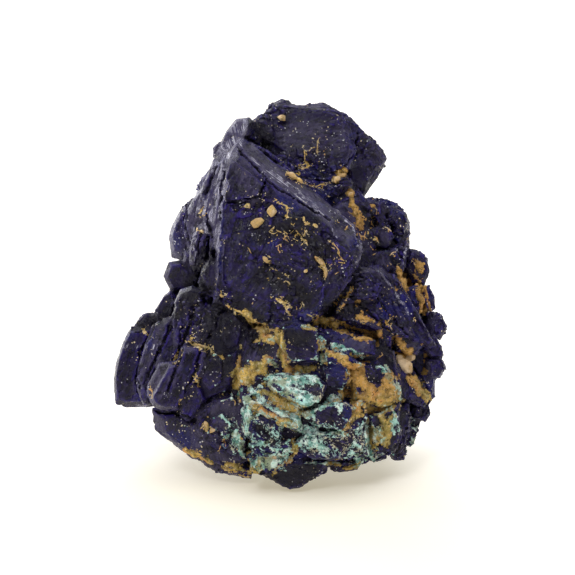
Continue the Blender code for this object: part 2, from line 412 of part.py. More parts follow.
def tablet(name, outline, out, tilt, root, bevel, home):
    """A tabular crystal: a flat face inside a bevelled rim, narrowing back to its root in the group."""
    chance = random.Random(name)
    mid = middle(outline)
    reach = min(math.dist(mid, p) for p in outline)
    points = section(outline, out, tilt, 1 - bevel / reach)
    points += section(outline, out, tilt, 1.0, (0, 0, -bevel * BEVEL_DROP), chance)
    points += section(outline, out, tilt, chance.uniform(*ROOT_SHARES), root)
    return hull_object(name, points, home)


def great_tablet(home):
    """The great tablet in front: a broad bevel slopes from its shoulder up to its face."""
    points = section(GREAT_FACE, GREAT_OUT, GREAT_TILT)
    points += section(GREAT_SHOULDER, GREAT_SHOULDER_OUT, GREAT_TILT)
    root = (*GREAT_ROOT_SHIFT, -GREAT_THICKNESS)
    points += section(GREAT_SHOULDER, GREAT_SHOULDER_OUT, GREAT_TILT, ROOT_SHARES[1], root)
    hull_object("great_tablet", points, home)
    face_middle = middle(GREAT_FACE)
    for name, outline, height in GREAT_PLATES:
        mid = middle(outline)
        level = GREAT_OUT + height
        level += GREAT_TILT[0] * (mid[0] - face_middle[0]) + GREAT_TILT[1] * (mid[1] - face_middle[1])
        plate = section(outline, level, GREAT_TILT, 1.0)
        plate += section(outline, level, GREAT_TILT, 1.0, (0, 0, -GREAT_PLATE_DEPTH))
        hull_object(name, plate, home)


def core_body(number, centre, radii, home):
    bm = bmesh.new()
    bmesh.ops.create_icosphere(bm, subdivisions=2, radius=1.0)
    for v in bm.verts:
        v.co = stand(*(c + r * x for c, r, x in zip(centre, radii, (v.co.x, v.co.z, v.co.y))))
    return helper_object(f"core_{number}", bm, home)


def blade(name, centre, along, normal, size, chance, home):
    """A blade with a wedge rim: a many-cornered outline between two smaller parallel faces."""
    length, width, thickness = size
    across = normal.cross(along).normalized()
    corners = []
    for corner in range(BLADE_CORNERS):
        turn = math.tau * (corner + chance.uniform(-CORNER_PLAY, CORNER_PLAY)) / BLADE_CORNERS
        corners.append((math.cos(turn) * length, math.sin(turn) * width))
    rim_level = chance.uniform(-RIM_PLAY, RIM_PLAY)
    points = []
    for level, share in ((-0.5, BLADE_FACE), (rim_level, 1.0), (0.5, BLADE_FACE)):
        for a, b in corners:
            spot = centre + along * a * share + across * b * share + normal * level * thickness
            points.append(stand(*spot))
    return hull_object(name, points, home)


def spiral_directions(count):
    """Directions spread evenly over a sphere, as (right, up, out)."""
    golden = math.pi * (3 - math.sqrt(5))
    for number in range(count):
        level = 1 - 2 * (number + 0.5) / count
        ring = math.sqrt(1 - level * level)
        yield Vector((ring * math.cos(golden * number), ring * math.sin(golden * number), level))


def buried(point, centre):
    """Whether a point on one core lies inside another."""
    for other, radii in CORES:
        inside = sum(((p - o) / r) ** 2 for p, o, r in zip(point, other, radii))
        if other != centre and inside < BURIED:
            return True
    return False


def blade_pack(name, root, outward, chance, home):
    """A few parallel blades side by side, standing out of the core like leaves of a book."""
    flat = outward.orthogonal().normalized()
    normal = Matrix.Rotation(chance.uniform(0, math.tau), 3, outward) @ flat
    along = Matrix.Rotation(BLADE_LEAN * chance.uniform(-1, 1), 3, normal) @ outward
    offset = 0.0
    for leaf in range(chance.randint(*PACK_BLADES)):
        length = chance.uniform(*BLADE_LENGTH)
        thickness = chance.uniform(*BLADE_THICKNESS)
        spot = root - along * length * chance.uniform(*BLADE_SINK) + normal * offset
        size = (length, chance.uniform(*BLADE_WIDTH), thickness)
        blade(f"{name}_{leaf}", spot, along, normal, size, chance, home)
        offset += thickness * chance.uniform(*BLADE_STEP)


def shingle(name, root, outward, chance, home):
    """A thick broad tablet that lies almost flat on the core, tipped up along one side."""
    flat = outward.orthogonal().normalized()
    along = Matrix.Rotation(chance.uniform(0, math.tau), 3, outward) @ flat
    tip = Matrix.Rotation(SHINGLE_TILT * chance.uniform(-1, 1), 3, along)
    normal = tip @ outward
    thickness = chance.uniform(*SHINGLE_THICKNESS)
    spot = root - outward * thickness * chance.uniform(*SHINGLE_SINK)
    size = (chance.uniform(*SHINGLE_LENGTH), chance.uniform(*SHINGLE_WIDTH), thickness)
    blade(name, spot, along, normal, size, chance, home)


def hidden_growth(home):
    """Shingles and blade packs wherever the laid-out front doesn't cover the cores."""
    chance = random.Random(HIDDEN_SEED)
    for number, count in enumerate(PLACES_PER_CORE):
        centre, radii = CORES[number]
        for place, facing in enumerate(spiral_directions(count)):
            root = Vector(c + r * f for c, r, f in zip(centre, radii, facing))
            if facing.z > FRONT_LIMIT or buried(root, centre):
                continue
            outward = Vector(f / r for f, r in zip(facing, radii)).normalized()
            if place % PACK_EVERY:
                shingle(f"shingle_{number}_{place}", root, outward, chance, home)
            else:
                blade_pack(f"pack_{number}_{place}", root, outward, chance, home)


def floor_cutter(home):
    """A block under the surface that the group rests on: it wears the lowest corners flat."""
    size = 0.1
    bpy.ops.mesh.primitive_cube_add(size=size, location=(0, 0, -size / 2))
    cutter = bpy.context.object
    cutter.name = "underside_cutter"
    for other in list(cutter.users_collection):
        other.objects.unlink(cutter)
    home.objects.link(cutter)
    cutter.display_type = "WIRE"
    cutter.hide_render = True
    return cutter


def azurite_material():
    material = bpy.data.materials.new("azurite")
    material.use_nodes = True
    shader = material.node_tree.nodes["Principled BSDF"]
    shader.inputs["Base Color"].default_value = (0.022, 0.018, 0.09, 1)
    shader.inputs["Roughness"].default_value = 0.38
    shader.inputs["Metallic"].default_value = 0.0
    shader.inputs["IOR"].default_value = 1.76
    return material


def outer_shell(mesh):
    """Fills the sealed hollows that crystals close off between them: only the outer surface stays."""
    bm = bmesh.new()
    bm.from_mesh(mesh)
    left = set(bm.faces)
    shells = []
    while left:
        front = [left.pop()]
        shell = set(front)
        while front:
            near = {f for edge in front.pop().edges for f in edge.link_faces} - shell
            shell |= near
            front.extend(near)
        left -= shell
        shells.append(shell)
    outer = max(shells, key=len)
    spare = [f for shell in shells if shell is not outer for f in shell]
    bmesh.ops.delete(bm, geom=spare, context="FACES")
    bm.to_mesh(mesh)
    bm.free()


def centre_on_footprint(cluster):
    """Makes the grown shape one plain mesh and centres its footprint on the origin."""
    graph = bpy.context.evaluated_depsgraph_get()
    mesh = bpy.data.meshes.new_from_object(cluster.evaluated_get(graph))
    cluster.modifiers.clear()
    cluster.data = mesh
    outer_shell(mesh)
    lows = [min(v.co[axis] for v in mesh.vertices) for axis in range(3)]
    highs = [max(v.co[axis] for v in mesh.vertices) for axis in range(3)]
    shift = Vector((-(lows[0] + highs[0]) / 2, -(lows[1] + highs[1]) / 2, -lows[2]))
    mesh.transform(Matrix.Translation(shift))
    cluster["moved"] = shift


def main():
    clear_scene()
    scene_root = bpy.context.scene.collection
    group = collection("azurite_specimen", scene_root)
    crystals = collection("crystals", scene_root)
    cutters = collection("cutters", scene_root)
    for row in CROWN + SHEAF + BOOK + HEART + RIGHT + BACKING:
        tablet(*row, crystals)
    great_tablet(crystals)
    hidden_growth(crystals)
    for number, (centre, radii) in enumerate(CORES[1:], start=2):
        core_body(number, centre, radii, crystals)

    cluster = core_body(1, *CORES[0], group)
    cluster.name = "azurite_cluster"
    cluster.display_type = "TEXTURED"
    cluster.hide_render = False
    cluster.data.materials.append(azurite_material())
    grown = cluster.modifiers.new("grown_together", "BOOLEAN")
    grown.operation = "UNION"
    grown.operand_type = "COLLECTION"
    grown.collection = crystals
    worn = cluster.modifiers.new("worn_underside", "BOOLEAN")
    worn.operation = "DIFFERENCE"
    worn.object = floor_cutter(cutters)
    centre_on_footprint(cluster)


main()
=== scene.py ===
import math

import bmesh
import bpy
import numpy as np
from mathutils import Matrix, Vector
from mathutils.bvhtree import BVHTree


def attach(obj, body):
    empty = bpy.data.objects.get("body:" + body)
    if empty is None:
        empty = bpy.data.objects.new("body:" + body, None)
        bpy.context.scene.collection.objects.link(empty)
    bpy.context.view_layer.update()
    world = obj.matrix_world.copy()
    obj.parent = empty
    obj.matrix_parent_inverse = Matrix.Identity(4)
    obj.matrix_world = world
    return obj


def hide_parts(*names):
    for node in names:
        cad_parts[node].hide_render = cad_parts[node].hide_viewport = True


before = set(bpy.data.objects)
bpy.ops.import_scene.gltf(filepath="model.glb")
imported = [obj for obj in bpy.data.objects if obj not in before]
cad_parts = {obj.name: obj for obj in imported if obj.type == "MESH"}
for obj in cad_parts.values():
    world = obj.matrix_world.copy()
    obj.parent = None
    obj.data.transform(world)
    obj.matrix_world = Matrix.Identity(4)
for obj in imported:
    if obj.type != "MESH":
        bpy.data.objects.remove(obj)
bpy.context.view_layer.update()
nodeName = "azurite_cluster"
metresPerMm = 0.001

# The picture is seen from the front, a little from above. All lengths are in mm
view = {
    "target": (0.73, -5.17, 22.67),
    "elevation": math.radians(15),
    "distance": 300.0,
    "width": 68.5,  # seen across at the target
}
rightAxis = np.array((1.0, 0.0, 0.0))
upAxis = np.array((0.0, math.sin(view["elevation"]), math.cos(view["elevation"])))
outAxis = np.array((0.0, -math.cos(view["elevation"]), math.sin(view["elevation"])))


def frontPlace(points):
    # where points appear on the picture's plane, as mm right and up from its middle, and their depth
    relative = points - np.array(view["target"])
    depth = relative @ outAxis
    size = view["distance"] / (view["distance"] - depth)
    return np.stack((relative @ rightAxis * size, relative @ upAxis * size, depth), axis=-1)


def frontRay(x, y):
    # start and direction of the line of sight through a place on the picture's plane
    eye = np.array(view["target"]) + outAxis * view["distance"]
    through = np.array(view["target"]) + rightAxis * x + upAxis * y
    direction = through - eye
    return Vector(eye), Vector(direction / np.linalg.norm(direction))


# Noise on arrays of points

def latticeNoise(points, size, seed):
    # smooth noise from 0 to 1 with bumps of about this size
    place = points / size + seed * 13.7
    cell = np.floor(place).astype(np.int64)
    part = place - cell
    part = part * part * (3 - 2 * part)
    total = 0.0
    for corner in range(8):
        step = np.array([(corner >> axis) & 1 for axis in range(3)])
        key = ((cell + step) * np.array((374761393, 668265263, 1274126177))).sum(axis=1) & 0xFFFFFFFF
        key = ((key ^ (key >> 13)) * 1103515245) & 0xFFFFFFFF
        value = ((key ^ (key >> 16)) & 0xFFFF) / 65535.0
        total = total + value * np.prod(np.where(step, part, 1 - part), axis=1)
    return total


def layeredNoise(points, size, seed, layers=3):
    total = sum(latticeNoise(points, size / 2**k, seed + k) / 2**k for k in range(layers))
    return total / sum(1 / 2**k for k in range(layers))


def lineNoise(along, size, seed):
    points = np.stack((along, np.full_like(along, 0.5), np.full_like(along, 0.5)), axis=-1)
    return latticeNoise(points, size, seed)


def hashed(values, scale=43758.5453):
    # numbers from 0 to 1 in no order
    return np.modf(np.abs(np.sin(values) * scale))[0]


def unitRows(vectors, least=1e-9):
    return vectors / np.maximum(np.linalg.norm(vectors, axis=1), least)[:, None]


def smoothRamp(values, low, high):
    t = np.clip((values - low) / (high - low), 0, 1)
    return t * t * (3 - 2 * t)


# Plain meshes and arrays

def readAll(items, field, many, kind=np.float32):
    flat = np.empty(len(items) * many, kind)
    items.foreach_get(field, flat)
    return flat.reshape(-1, many)


def meshPoints(mesh):
    return readAll(mesh.vertices, "co", 3).astype(float)


def meshNormals(mesh):
    return readAll(mesh.vertex_normals, "vector", 3).astype(float)


def meshEdges(mesh):
    return readAll(mesh.edges, "vertices", 2, np.int32)


def setPoints(mesh, points):
    mesh.vertices.foreach_set("co", points.astype(np.float32).ravel())
    mesh.update()


def storeOnPoints(mesh, name, values):
    kind, field = ("FLOAT_VECTOR", "vector") if values.ndim == 2 else ("FLOAT", "value")
    layer = mesh.attributes.new(name, kind, "POINT")
    layer.data.foreach_set(field, values.astype(np.float32).ravel())


def addObject(name, data):
    obj = bpy.data.objects.new(name, data)
    bpy.context.scene.collection.objects.link(obj)
    return obj


def plainMesh(obj):
    # the object's mesh with its modifiers worked in; the object itself goes
    graph = bpy.context.evaluated_depsgraph_get()
    graph.update()
    mesh = bpy.data.meshes.new_from_object(obj.evaluated_get(graph))
    bpy.data.objects.remove(obj, do_unlink=True)
    return mesh


def blurred(values, edges, rounds):
    # each round every point takes the mean of itself and its neighbours
    first, second = edges.T
    many = len(values)
    count = 1.0 + np.bincount(first, minlength=many) + np.bincount(second, minlength=many)
    flat = values.reshape(many, -1)
    for _ in range(rounds):
        total = flat.copy()
        for column in range(flat.shape[1]):
            total[:, column] += np.bincount(first, flat[second, column], many)
            total[:, column] += np.bincount(second, flat[first, column], many)
        flat = total / count[:, None]
    return flat.reshape(values.shape)


# One small graph writer serves the materials and the geometry trees

class Wire:
    # a socket that takes part in sums; each operator adds one Math node
    def __init__(self, graph, socket):
        self.graph = graph
        self.socket = socket

    def maths(self, operation, first, second=None):
        inputs = {0: first} if second is None else {0: first, 1: second}
        return self.graph.add("ShaderNodeMath", {"operation": operation}, inputs)

    def __add__(self, other):
        return self.maths("ADD", self, other)

    def __sub__(self, other):
        return self.maths("SUBTRACT", self, other)

    def __rsub__(self, other):
        return self.maths("SUBTRACT", other, self)

    def __mul__(self, other):
        return self.maths("MULTIPLY", self, other)

    def __truediv__(self, other):
        return self.maths("DIVIDE", self, other)

    __radd__ = __add__
    __rmul__ = __mul__

    def above(self, low, high):
        # 0 below low, 1 above high, smooth between
        return self.graph.add("ShaderNodeMapRange", {"interpolation_type": "SMOOTHSTEP"},
                              {"Value": self, "From Min": low, "From Max": high})


class Graph:
    def __init__(self, tree):
        self.tree = tree
        self.place = None  # a material's Object coordinates

    def add(self, kind, settings=None, inputs=None, out=0):
        node = self.tree.nodes.new(kind)
        for name, value in (settings or {}).items():
            setattr(node, name, value)
        for name, value in (inputs or {}).items():
            if isinstance(value, Wire):
                self.tree.links.new(value.socket, node.inputs[name])
            else:
                node.inputs[name].default_value = value
        return Wire(self, node.outputs[out])

    def colourMix(self, factor, first, second):
        # a colour is a socket, or plain linear red, green and blue
        first, second = (c if isinstance(c, Wire) else (*c, 1.0) for c in (first, second))
        return self.add("ShaderNodeMix", {"data_type": "RGBA"}, {0: factor, 6: first, 7: second}, out=2)

    def vector(self, operation, first, second, out=0):
        settings = {"operation": operation}
        return self.add("ShaderNodeVectorMath", settings, {0: first, 1: second}, out)

    def scaled(self, vector, factor):
        settings = {"operation": "SCALE"}
        return self.add("ShaderNodeVectorMath", settings, {0: vector, "Scale": factor})

    def axis(self, letter):
        return self.add("ShaderNodeSeparateXYZ", None, {"Vector": self.place}, out=letter)

    def bump(self, height, strength, distance, **normal):
        inputs = {"Strength": strength, "Distance": distance, "Height": height, **normal}
        return self.add("ShaderNodeBump", None, inputs)

    def noise(self, size, detail=2.0, roughness=0.5, at=None):
        # size is the width of the bumps in mm
        inputs = {"Vector": at or self.place, "Scale": 1 / (size * metresPerMm), "Detail": detail,
                  "Roughness": roughness}
        return self.add("ShaderNodeTexNoise", None, inputs)

    def cells(self, place, size, out="Distance"):
        inputs = {"Vector": place, "Scale": 1 / (size * metresPerMm)}
        return self.add("ShaderNodeTexVoronoi", None, inputs, out)

    def threads(self, size, width):
        # thin winding lines where a noise passes through its middle
        away = self.noise(size, 3, 0.55) - 0.5
        away = away.maths("ABSOLUTE", away)
        return 1 - away.above(width * 0.4, width)

    def attribute(self, name, out="Fac"):
        return self.add("ShaderNodeAttribute", {"attribute_name": name}, out=out)


def newMaterial(name):
    material = bpy.data.materials.new(name)
    material.use_nodes = True
    graph = Graph(material.node_tree)
    graph.place = graph.add("ShaderNodeTexCoord", out="Object")
    return material, graph, material.node_tree.nodes["Principled BSDF"]


def feed(graph, shader, name, wire):
    graph.tree.links.new(wire.socket, shader.inputs[name])


def strokes(*rows):
    # marks on the front: half width in hundredths of a mm, strength, and then places in tenths,
    # right and up of the picture's middle
    return tuple((width / 100, strength, tuple((x / 10, y / 10) for x, y in zip(line[::2], line[1::2])))
                 for width, strength, *line in rows)


# Clay and limonite
clayMarks = strokes(
    (33, 1, 57, 128, 64, 134, 69, 139), (36, 1, 74, 114, 77, 105), (42, 0.8, 78, 98, 83, 88, 84, 73),
    (36, 1, 154, -3, 159, -16, 161, -29), (33, 1, 167, 3, 171, -14, 170, -27),
    (30, 0.8, 152, 34, 159, 19), (52, 1, 134, -67, 145, -78), (43, 1, 148, -108, 158, -120, 167, -133),
    (38, 0.9, 133, 22, 141, 1), (83, 1, -59, -108, -45, -101, -28, -98), (48, 1, -61, -115, -49, -110),
    (42, 1, -11, -53, -9, -69, -4, -84, -1, -96), (42, 1, 3, -98, 17, -97, 34, -96),
    (54, 0.6, -54, -29, -42, -41, -30, -53, -21, -65), (58, 1, -28, -123, -11, -132, 5, -140, 20, -147),
    (42, 1, -41, -142, -26, -148, -9, -157, 5, -164), (38, 1, 39, -67, 42, -74, 53, -79, 70, -84),
    (36, 1, 63, -86, 74, -94, 89, -98), (119, 1, 84, -110, 94, -120, 105, -129, 117, -139),
    (95, 1, 84, -134, 83, -148), (83, 0.9, 120, -110, 127, -129), (60, 0.9, 70, -127, 74, -139),
    (80, 0.4, 110, -151, 120, -170, 115, -191), (60, 0.6, 101, -172, 105, -191),
    (42, 1, 82, -144, 77, -158, 70, -169), (24, 0.9, 5, -182, 10, -194),
    (15, 0.8, 10, -194, -2, -208, -18, -222), (29, 0.9, -76, -210, -57, -215, -35, -222),
    (36, 1, 51, -210, 60, -209), (36, 0.9, 69, -215, 82, -214), (43, 1, 36, -41, 48, -38, 58, -46),
    (26, 0.9, 22, -46, 32, -51), (30, 0.8, 60, -51, 70, -53), (36, 0.9, 84, -34, 98, -39),
    (38, 1, 86, -60, 98, -57, 110, -55), (24, 0.8, 77, -51, 86, -55),
    (48, 0.9, 132, -63, 139, -74, 144, -86), (42, 1, 146, -108, 155, -120, 165, -129),
    (24, 0.8, -123, -194, -109, -201, -90, -208),
)
# Thin lines of crumbs
crumbMarks = strokes(
    (15, 1, 38, 176, 35, 164, 38, 154), (13, 1, 21, 164, 20, 151), (13, 1, 16, 146, 24, 145),
    (31, 1, 1, 136, 10, 132, 20, 124), (11, 0.9, 18, 124, 36, 120, 53, 127),
    (13, 0.9, -14, 101, -3, 98, 2, 90, -1, 83), (17, 0.8, 18, 85, 22, 76, 20, 64),
    (26, 1, 36, 36, 41, 30, 46, 22, 45, 14), (21, 1, 22, 21, 23, 20), (26, 1, -26, 33, -23, 32),
    (26, 1, -79, -8, -77, -10), (14, 0.8, -8, 52, -10, 42), (21, 1, -11, -15, -3, -20, 5, -23),
    (17, 0.9, -3, -20, 1, -29, 3, -35), (10, 0.7, 46, 59, 55, 53, 61, 45, 64, 35),
    (21, 0.7, -74, -21, -45, -35, -14, -54),
    (23, 1, -123, -63, -114, -67, -103, -70, -92, -71, -89, -78), (26, 1, -114, -60, -111, -61),
    (15, 1, -130, -76, -134, -88), (26, 1, -171, -53, -169, -55), (21, 0.8, -110, -103, -107, -117),
    (24, 0.7, -78, -53, -76, -55), (15, 0.8, -164, -119, -161, -129),
    (26, 0.7, 60, -28, 69, -15, 77, -1), (26, 0.8, 86, -41, 102, -39),
    (31, 0.9, -74, -216, -57, -221, -38, -226), (26, 0.6, -119, -196, -97, -201),
    (19, 0.8, 116, 73, 124, 66), (18, 0.8, 101, 61, 110, 55),
)
# Malachite crust
malachiteMarks = strokes(
    (66, 1, -21, -109, -4, -111, 15, -111, 32, -108), (60, 1, -2, -120, 15, -127, 27, -133),
    (36, 0.9, 22, -139, 29, -141), (54, 0.8, -42, -122, -30, -132),
    (24, 0.8, -23, -140, -4, -151, 15, -157), (31, 0.9, 15, -146, 24, -152),
    (41, 1, -47, -132, -49, -146, -48, -163, -47, -175),
    (17, 0.9, -42, -153, -30, -148, -14, -155, -4, -163, -9, -179, -23, -186, -42, -182),
    (40, 0.6, -62, -172, -59, -186, -52, -201), (17, 0.9, -47, -189, -35, -186, -18, -191, -4, -194),
    (15, 0.8, -30, -196, -14, -201, 5, -196), (66, 1, -38, -210, -23, -210, -7, -203),
    (66, 0.85, 10, -163, 22, -170, 32, -175), (34, 0.9, 17, -180, 34, -189, 46, -194),
    (24, 0.9, 32, -162, 50, -169, 72, -175), (24, 1, 94, -155, 96, -175, 97, -189, 99, -201),
    (24, 0.75, 79, -186, 89, -193, 94, -201), (48, 0.9, 48, -134, 58, -136, 67, -146),
    (30, 0.9, 41, -144, 51, -132), (30, 0.4, 39, -110, 46, -124, 43, -136),
    (48, 0.5, 113, -96, 124, -110, 134, -127), (42, 0.8, -21, -89, -14, -94),
    (36, 0.6, 39, -60, 43, -74, 41, -89), (48, 0.3, 55, -70, 74, -74, 89, -82),
    (24, 0.6, -59, -127, -52, -120), (30, 0.6, 77, -196, 89, -208),
    (26, 0.5, 117, -139, 129, -148, 132, -170), (30, 0.7, 106, -162, 112, -180, 110, -198),
    (20, 0.8, 122, -154, 127, -176),
)
# Broken ground
roughMarks = strokes(
    (83, 0.9, -61, 97, -30, 97, -4, 88), (167, 0.5, 3, 71, 39, 57, 51, 30),
    (191, 0.45, -45, 45, -3, 9, 15, -15), (214, 0.9, 77, 3, 108, -3, 129, -36),
    (119, 0.9, 15, -186, 69, -189), (107, 0.8, -30, -167, -21, -177), (167, 0.7, 104, 86, 132, 69),
    (191, 0.6, -98, -158, -71, -182), (150, 0.7, 86, 176, 104, 140, 116, 112),
)
# Faces that keep flat and crisp
calmMarks = strokes(
    (260, 1, -203, -74, -174, -134), (260, 1, -154, -70, -136, -134),
    (260, 1, -116, -86, -80, -114, -74, -50), (150, 1, -54, 142, -42, 114),
    (130, 1, -52, 164, -9, 125, 51, 86), (160, 1, -55, 196, -66, 170, -84, 142),
    (160, 0.8, -6, -59, 22, -64), (190, 1, -148, 36, -132, 6), (110, 1, 116, 148, 114, 136),
    (120, 0.9, -140, 68, -130, 44),
)
# Dark places kept free of crusts
bareMarks = strokes(
    (50, 1, 44, -104, 47, -120, 42, -132), (90, 1, -37, -167, -17, -176), (40, 1, 103, -157, 106, -161),
    (50, 1, 111, -193, 118, -199), (45, 1, 73, -134, 69, -158), (70, 1, 40, -156, 64, -163),
    (60, 1, 172, 8, 176, -16, 177, -36), (50, 1, 164, 46, 169, 26),
)
# Growth lines that catch the light, painted as pale highlights
silverMarks = strokes(
    (34, 1, -59, 173, -66, 146, -78, 122, -84, 98, -85, 74, -86, 45),
    (26, 1, -72, 148, -89, 101, -90, 80), (40, 1, -90, 152, -108, 120, -120, 96),
    (22, 1, -62, 188, -73, 166, -87, 144), (20, 1, -69, 142, -76, 106, -82, 66),
    (20, 1, -96, 134, -104, 104, -107, 84), (16, 1, -102, -46, -90, -41, -83, -32),
    (14, 1, -180, -140, -144, -150), (20, 0.9, 146, 70, 142, 46, 134, 26),
    (16, 0.9, 106, 22, 130, -6, 146, -32), (14, 1, 56, 92, 76, 74, 86, 56, 88, 44, 83, 30),
    (30, 1, -98, 104, -96, 68), (120, 0.8, -55, 196, -66, 170, -84, 142),
    (13, 1, -44, 156, -4, 122, 46, 82), (12, 1, -16, 137, 26, 104, 54, 74),
    (12, 1, 8, 110, 42, 82, 60, 62), (16, 1, -112, 70, -110, 36, -98, 10), (14, 1, -196, -70, -152, -71),
)
# Clefts between the plates, cut into the relief and painted dark as shade
cleftMarks = strokes(
    (20, 1, -160, -45, -175, -78, -180, -108, -173, -134),
    (20, 1, -139, -41, -144, -60, -160, -91, -171, -115), (16, 1, -126, -43, -130, -71, -136, -91),
    (22, 1, -112, -26, -123, -60, -130, -89, -144, -123), (16, 1, -80, -30, -91, -52, -96, -65),
    (20, 1, -104, -71, -107, -91, -117, -115, -128, -145), (24, 1, -165, -145, -136, -150, -117, -156),
    (20, 1, -96, 86, -92, 63, -104, 39), (20, 1, -120, 104, -123, 74, -116, 51),
    (14, 1, -76, 140, -80, 116, -81, 80), (16, 1, -86, 144, -98, 110),
    (20, 1, -105, 63, -109, 24, -98, -3), (16, 1, -69, 102, -33, 108, -27, 126),
    (13, 1, -58, 165, -15, 120, 51, 80), (18, 1, -48, 179, -15, 153, 23, 132),
    (16, 1, 20, 132, 57, 129, 82, 161, 84, 183), (16, 0.9, 64, -2, 94, -26, 126, -56),
    (16, 0.9, 102, -4, 124, -34, 146, -58), (20, 0.9, 120, 86, 126, 58, 140, 30),
    (16, 0.9, 136, -76, 154, -102, 168, -120),
)
# Flat faces painted grey as sheen, as if they reflected the light
greyMarks = strokes(
    (80, 1, -52, 164, -28, 142), (135, 1, -28, 142, -9, 125, 51, 86), (70, 1, -62, 196, -54, 179),
    (170, 1, -54, 139, -42, 114), (260, 1, 6, 176, 56, 178), (170, 1, 88, 172, 102, 154, 110, 130),
    (130, 0.9, 98, 96, 124, 82), (90, 0.9, 116, 64, 126, 46), (130, 1, -55, 196, -66, 170),
    (80, 1, -104, -44, -120, -76), (70, 1, -96, -76, -106, -106), (80, 1, -166, -84, -180, -120),
    (80, 1, -132, -96, -148, -130),
)
# Fine pale lace on dark ground
laceMarks = strokes(
    (170, 1, 32, -168, 86, -184), (120, 1, 20, -188, 88, -202), (140, 1, -68, -164, -60, -190),
    (120, 1, 0, -128, 28, -146), (100, 0.8, -40, -156, -16, -172), (90, 0.9, -36, -206, -6, -214),
    (80, 0.8, -24, -182, 2, -190),
)
# The bluest faces and edges
blueMarks = strokes(
    (150, 1, 52, -84, 64, -104), (70, 1, 69, -136, 73, -156), (70, 0.8, -166, -126, -162, -136),
    (50, 1, -88, -180, -87, -186), (90, 1, -100, 126, -97, 112), (100, 0.8, -138, 68, -132, 44),
    (40, 1, 76, 180, 80, 166, 82, 152), (60, 0.8, 22, 140, 50, 135, 74, 152),
    (70, 0.9, 91, 108, 116, 108, 136, 86), (80, 0.9, 130, 56, 124, 30),
    (80, 0.8, 156, -60, 164, -86, 160, -104), (60, 0.7, -82, 130, -80, 80, -82, 20),
    (140, 0.5, 46, -54, 86, -66), (80, 0.8, 24, -100, 34, -104), (80, 0.7, 10, -42, 46, -18),
)
# The darkest faces and pits, painted dark as shade
shadeMarks = strokes(
    (270, 1, -82, -36, -76, -80), (230, 1, -56, -34, -34, -64), (140, 1, -36, 60, -8, 74, 26, 80),
    (170, 0.9, 6, 70, 34, 46, 46, 14), (220, 0.6, -28, 18, 22, -12), (120, 0.8, -39, 192, -26, 176),
    (100, 1, 92, 84, 98, 76), (70, 0.9, 96, 62, 112, 48), (70, 1, 120, 42, 128, 28),
    (50, 1, 124, -162, 126, -169), (60, 1, 110, -149, 113, -158), (60, 1, 126, -192, 134, -194),
    (140, 0.8, 48, -22, 86, -26), (130, 0.9, -32, -168, -20, -174), (130, 0.8, 110, -68, 122, -86),
    (170, 0.5, -30, -228, -4, -226, 34, -218), (150, 0.7, 2, -56, 18, -62),
    (160, 0.8, -169, -44, -136, -28), (140, 0.9, -94, 36, -116, -12),
)
# Larger grains of clay stuck to the front: right, up, radius, how much longer than wide, turned by in
# degrees, and how far out from the surface behind it where it bridges a hollow
clayChunks = (
    (-0.7, 20.1, 0.62, 1.3, -10),
    (-3.7, 7.7, 0.78, 1.7, 20),
    (-1.8, 9.1, 0.86, 1.2, 60),
    (-4.8, 9.7, 0.46, 1.3, 0),
    (-2.6, 3.3, 0.4, 1.6, -40),
    (0.5, 13.2, 0.55, 2.0, -25),
    (1.3, 12.7, 0.42, 1.6, -35),
    (5.8, 12.9, 0.5, 1.6, 30),
    (6.4, 13.3, 0.4, 1.4, 20),
    (7.6, 11.0, 0.4, 1.2, 0),
    (13.8, -9.1, 1.15, 1.1, -30, 2.7),
    (14.6, -8.3, 0.65, 1.3, 20, 2.2),
    (13.0, -8.4, 0.55, 1.2, 60, 2.2),
    (14.3, -9.9, 0.6, 1.3, 70, 2.2),
    (-9.5, -16.3, 0.5, 1.8, 60),
    (-9.1, -17.0, 0.4, 1.4, 50),
    (2.2, 2.0, 0.28, 1.2, 0),
    (3.3, 7.4, 0.3, 1.6, -30),
    (-7.8, -1.0, 0.24, 1.3, 0),
    (3.9, 3.1, 0.4, 2.4, -40),
    (4.5, 1.9, 0.34, 2.6, -75),
)
# Short wisps of clay over the open faces: (right and up of the middle, reach, how many)
wispPlaces = (
    ((0.6, 6.2), 3.0, 34),
    ((0.0, 1.4), 4.5, 18),
    ((6.0, 2.6), 1.4, 8),
    ((3.0, 15.0), 3.6, 9),
    ((9.5, 9.0), 4.5, 16),
    ((13.0, 4.0), 4.0, 14),
    ((11.0, -5.0), 4.0, 14),
    ((-9.8, 8.0), 3.0, 4),
    ((-8.0, -16.0), 5.0, 12),
)
# Grounds on the front where more of it lies: (centre right and up and 0, radius, strength)
clayGrounds = (
    ((9.6, -12.0, 0.0), 5.0, 1.0),
    ((8.4, -6.0, 0.0), 4.4, 1.0),
    ((-3.0, -8.4, 0.0), 4.6, 1.0),
    ((15.6, 1.6, 0.0), 3.6, 0.7),
    ((15.0, -10.8, 0.0), 3.4, 0.9),
    ((8.4, 8.4, 0.0), 2.6, 0.9),
    ((-4.0, -21.0, 0.0), 4.0, 0.8),
)
malachiteGrounds = (
    ((1.4, -14.4, 0.0), 7.6, 1.0),
    ((-4.8, -16.4, 0.0), 4.4, 0.9),
    ((8.6, -17.8, 0.0), 4.2, 0.9),
)
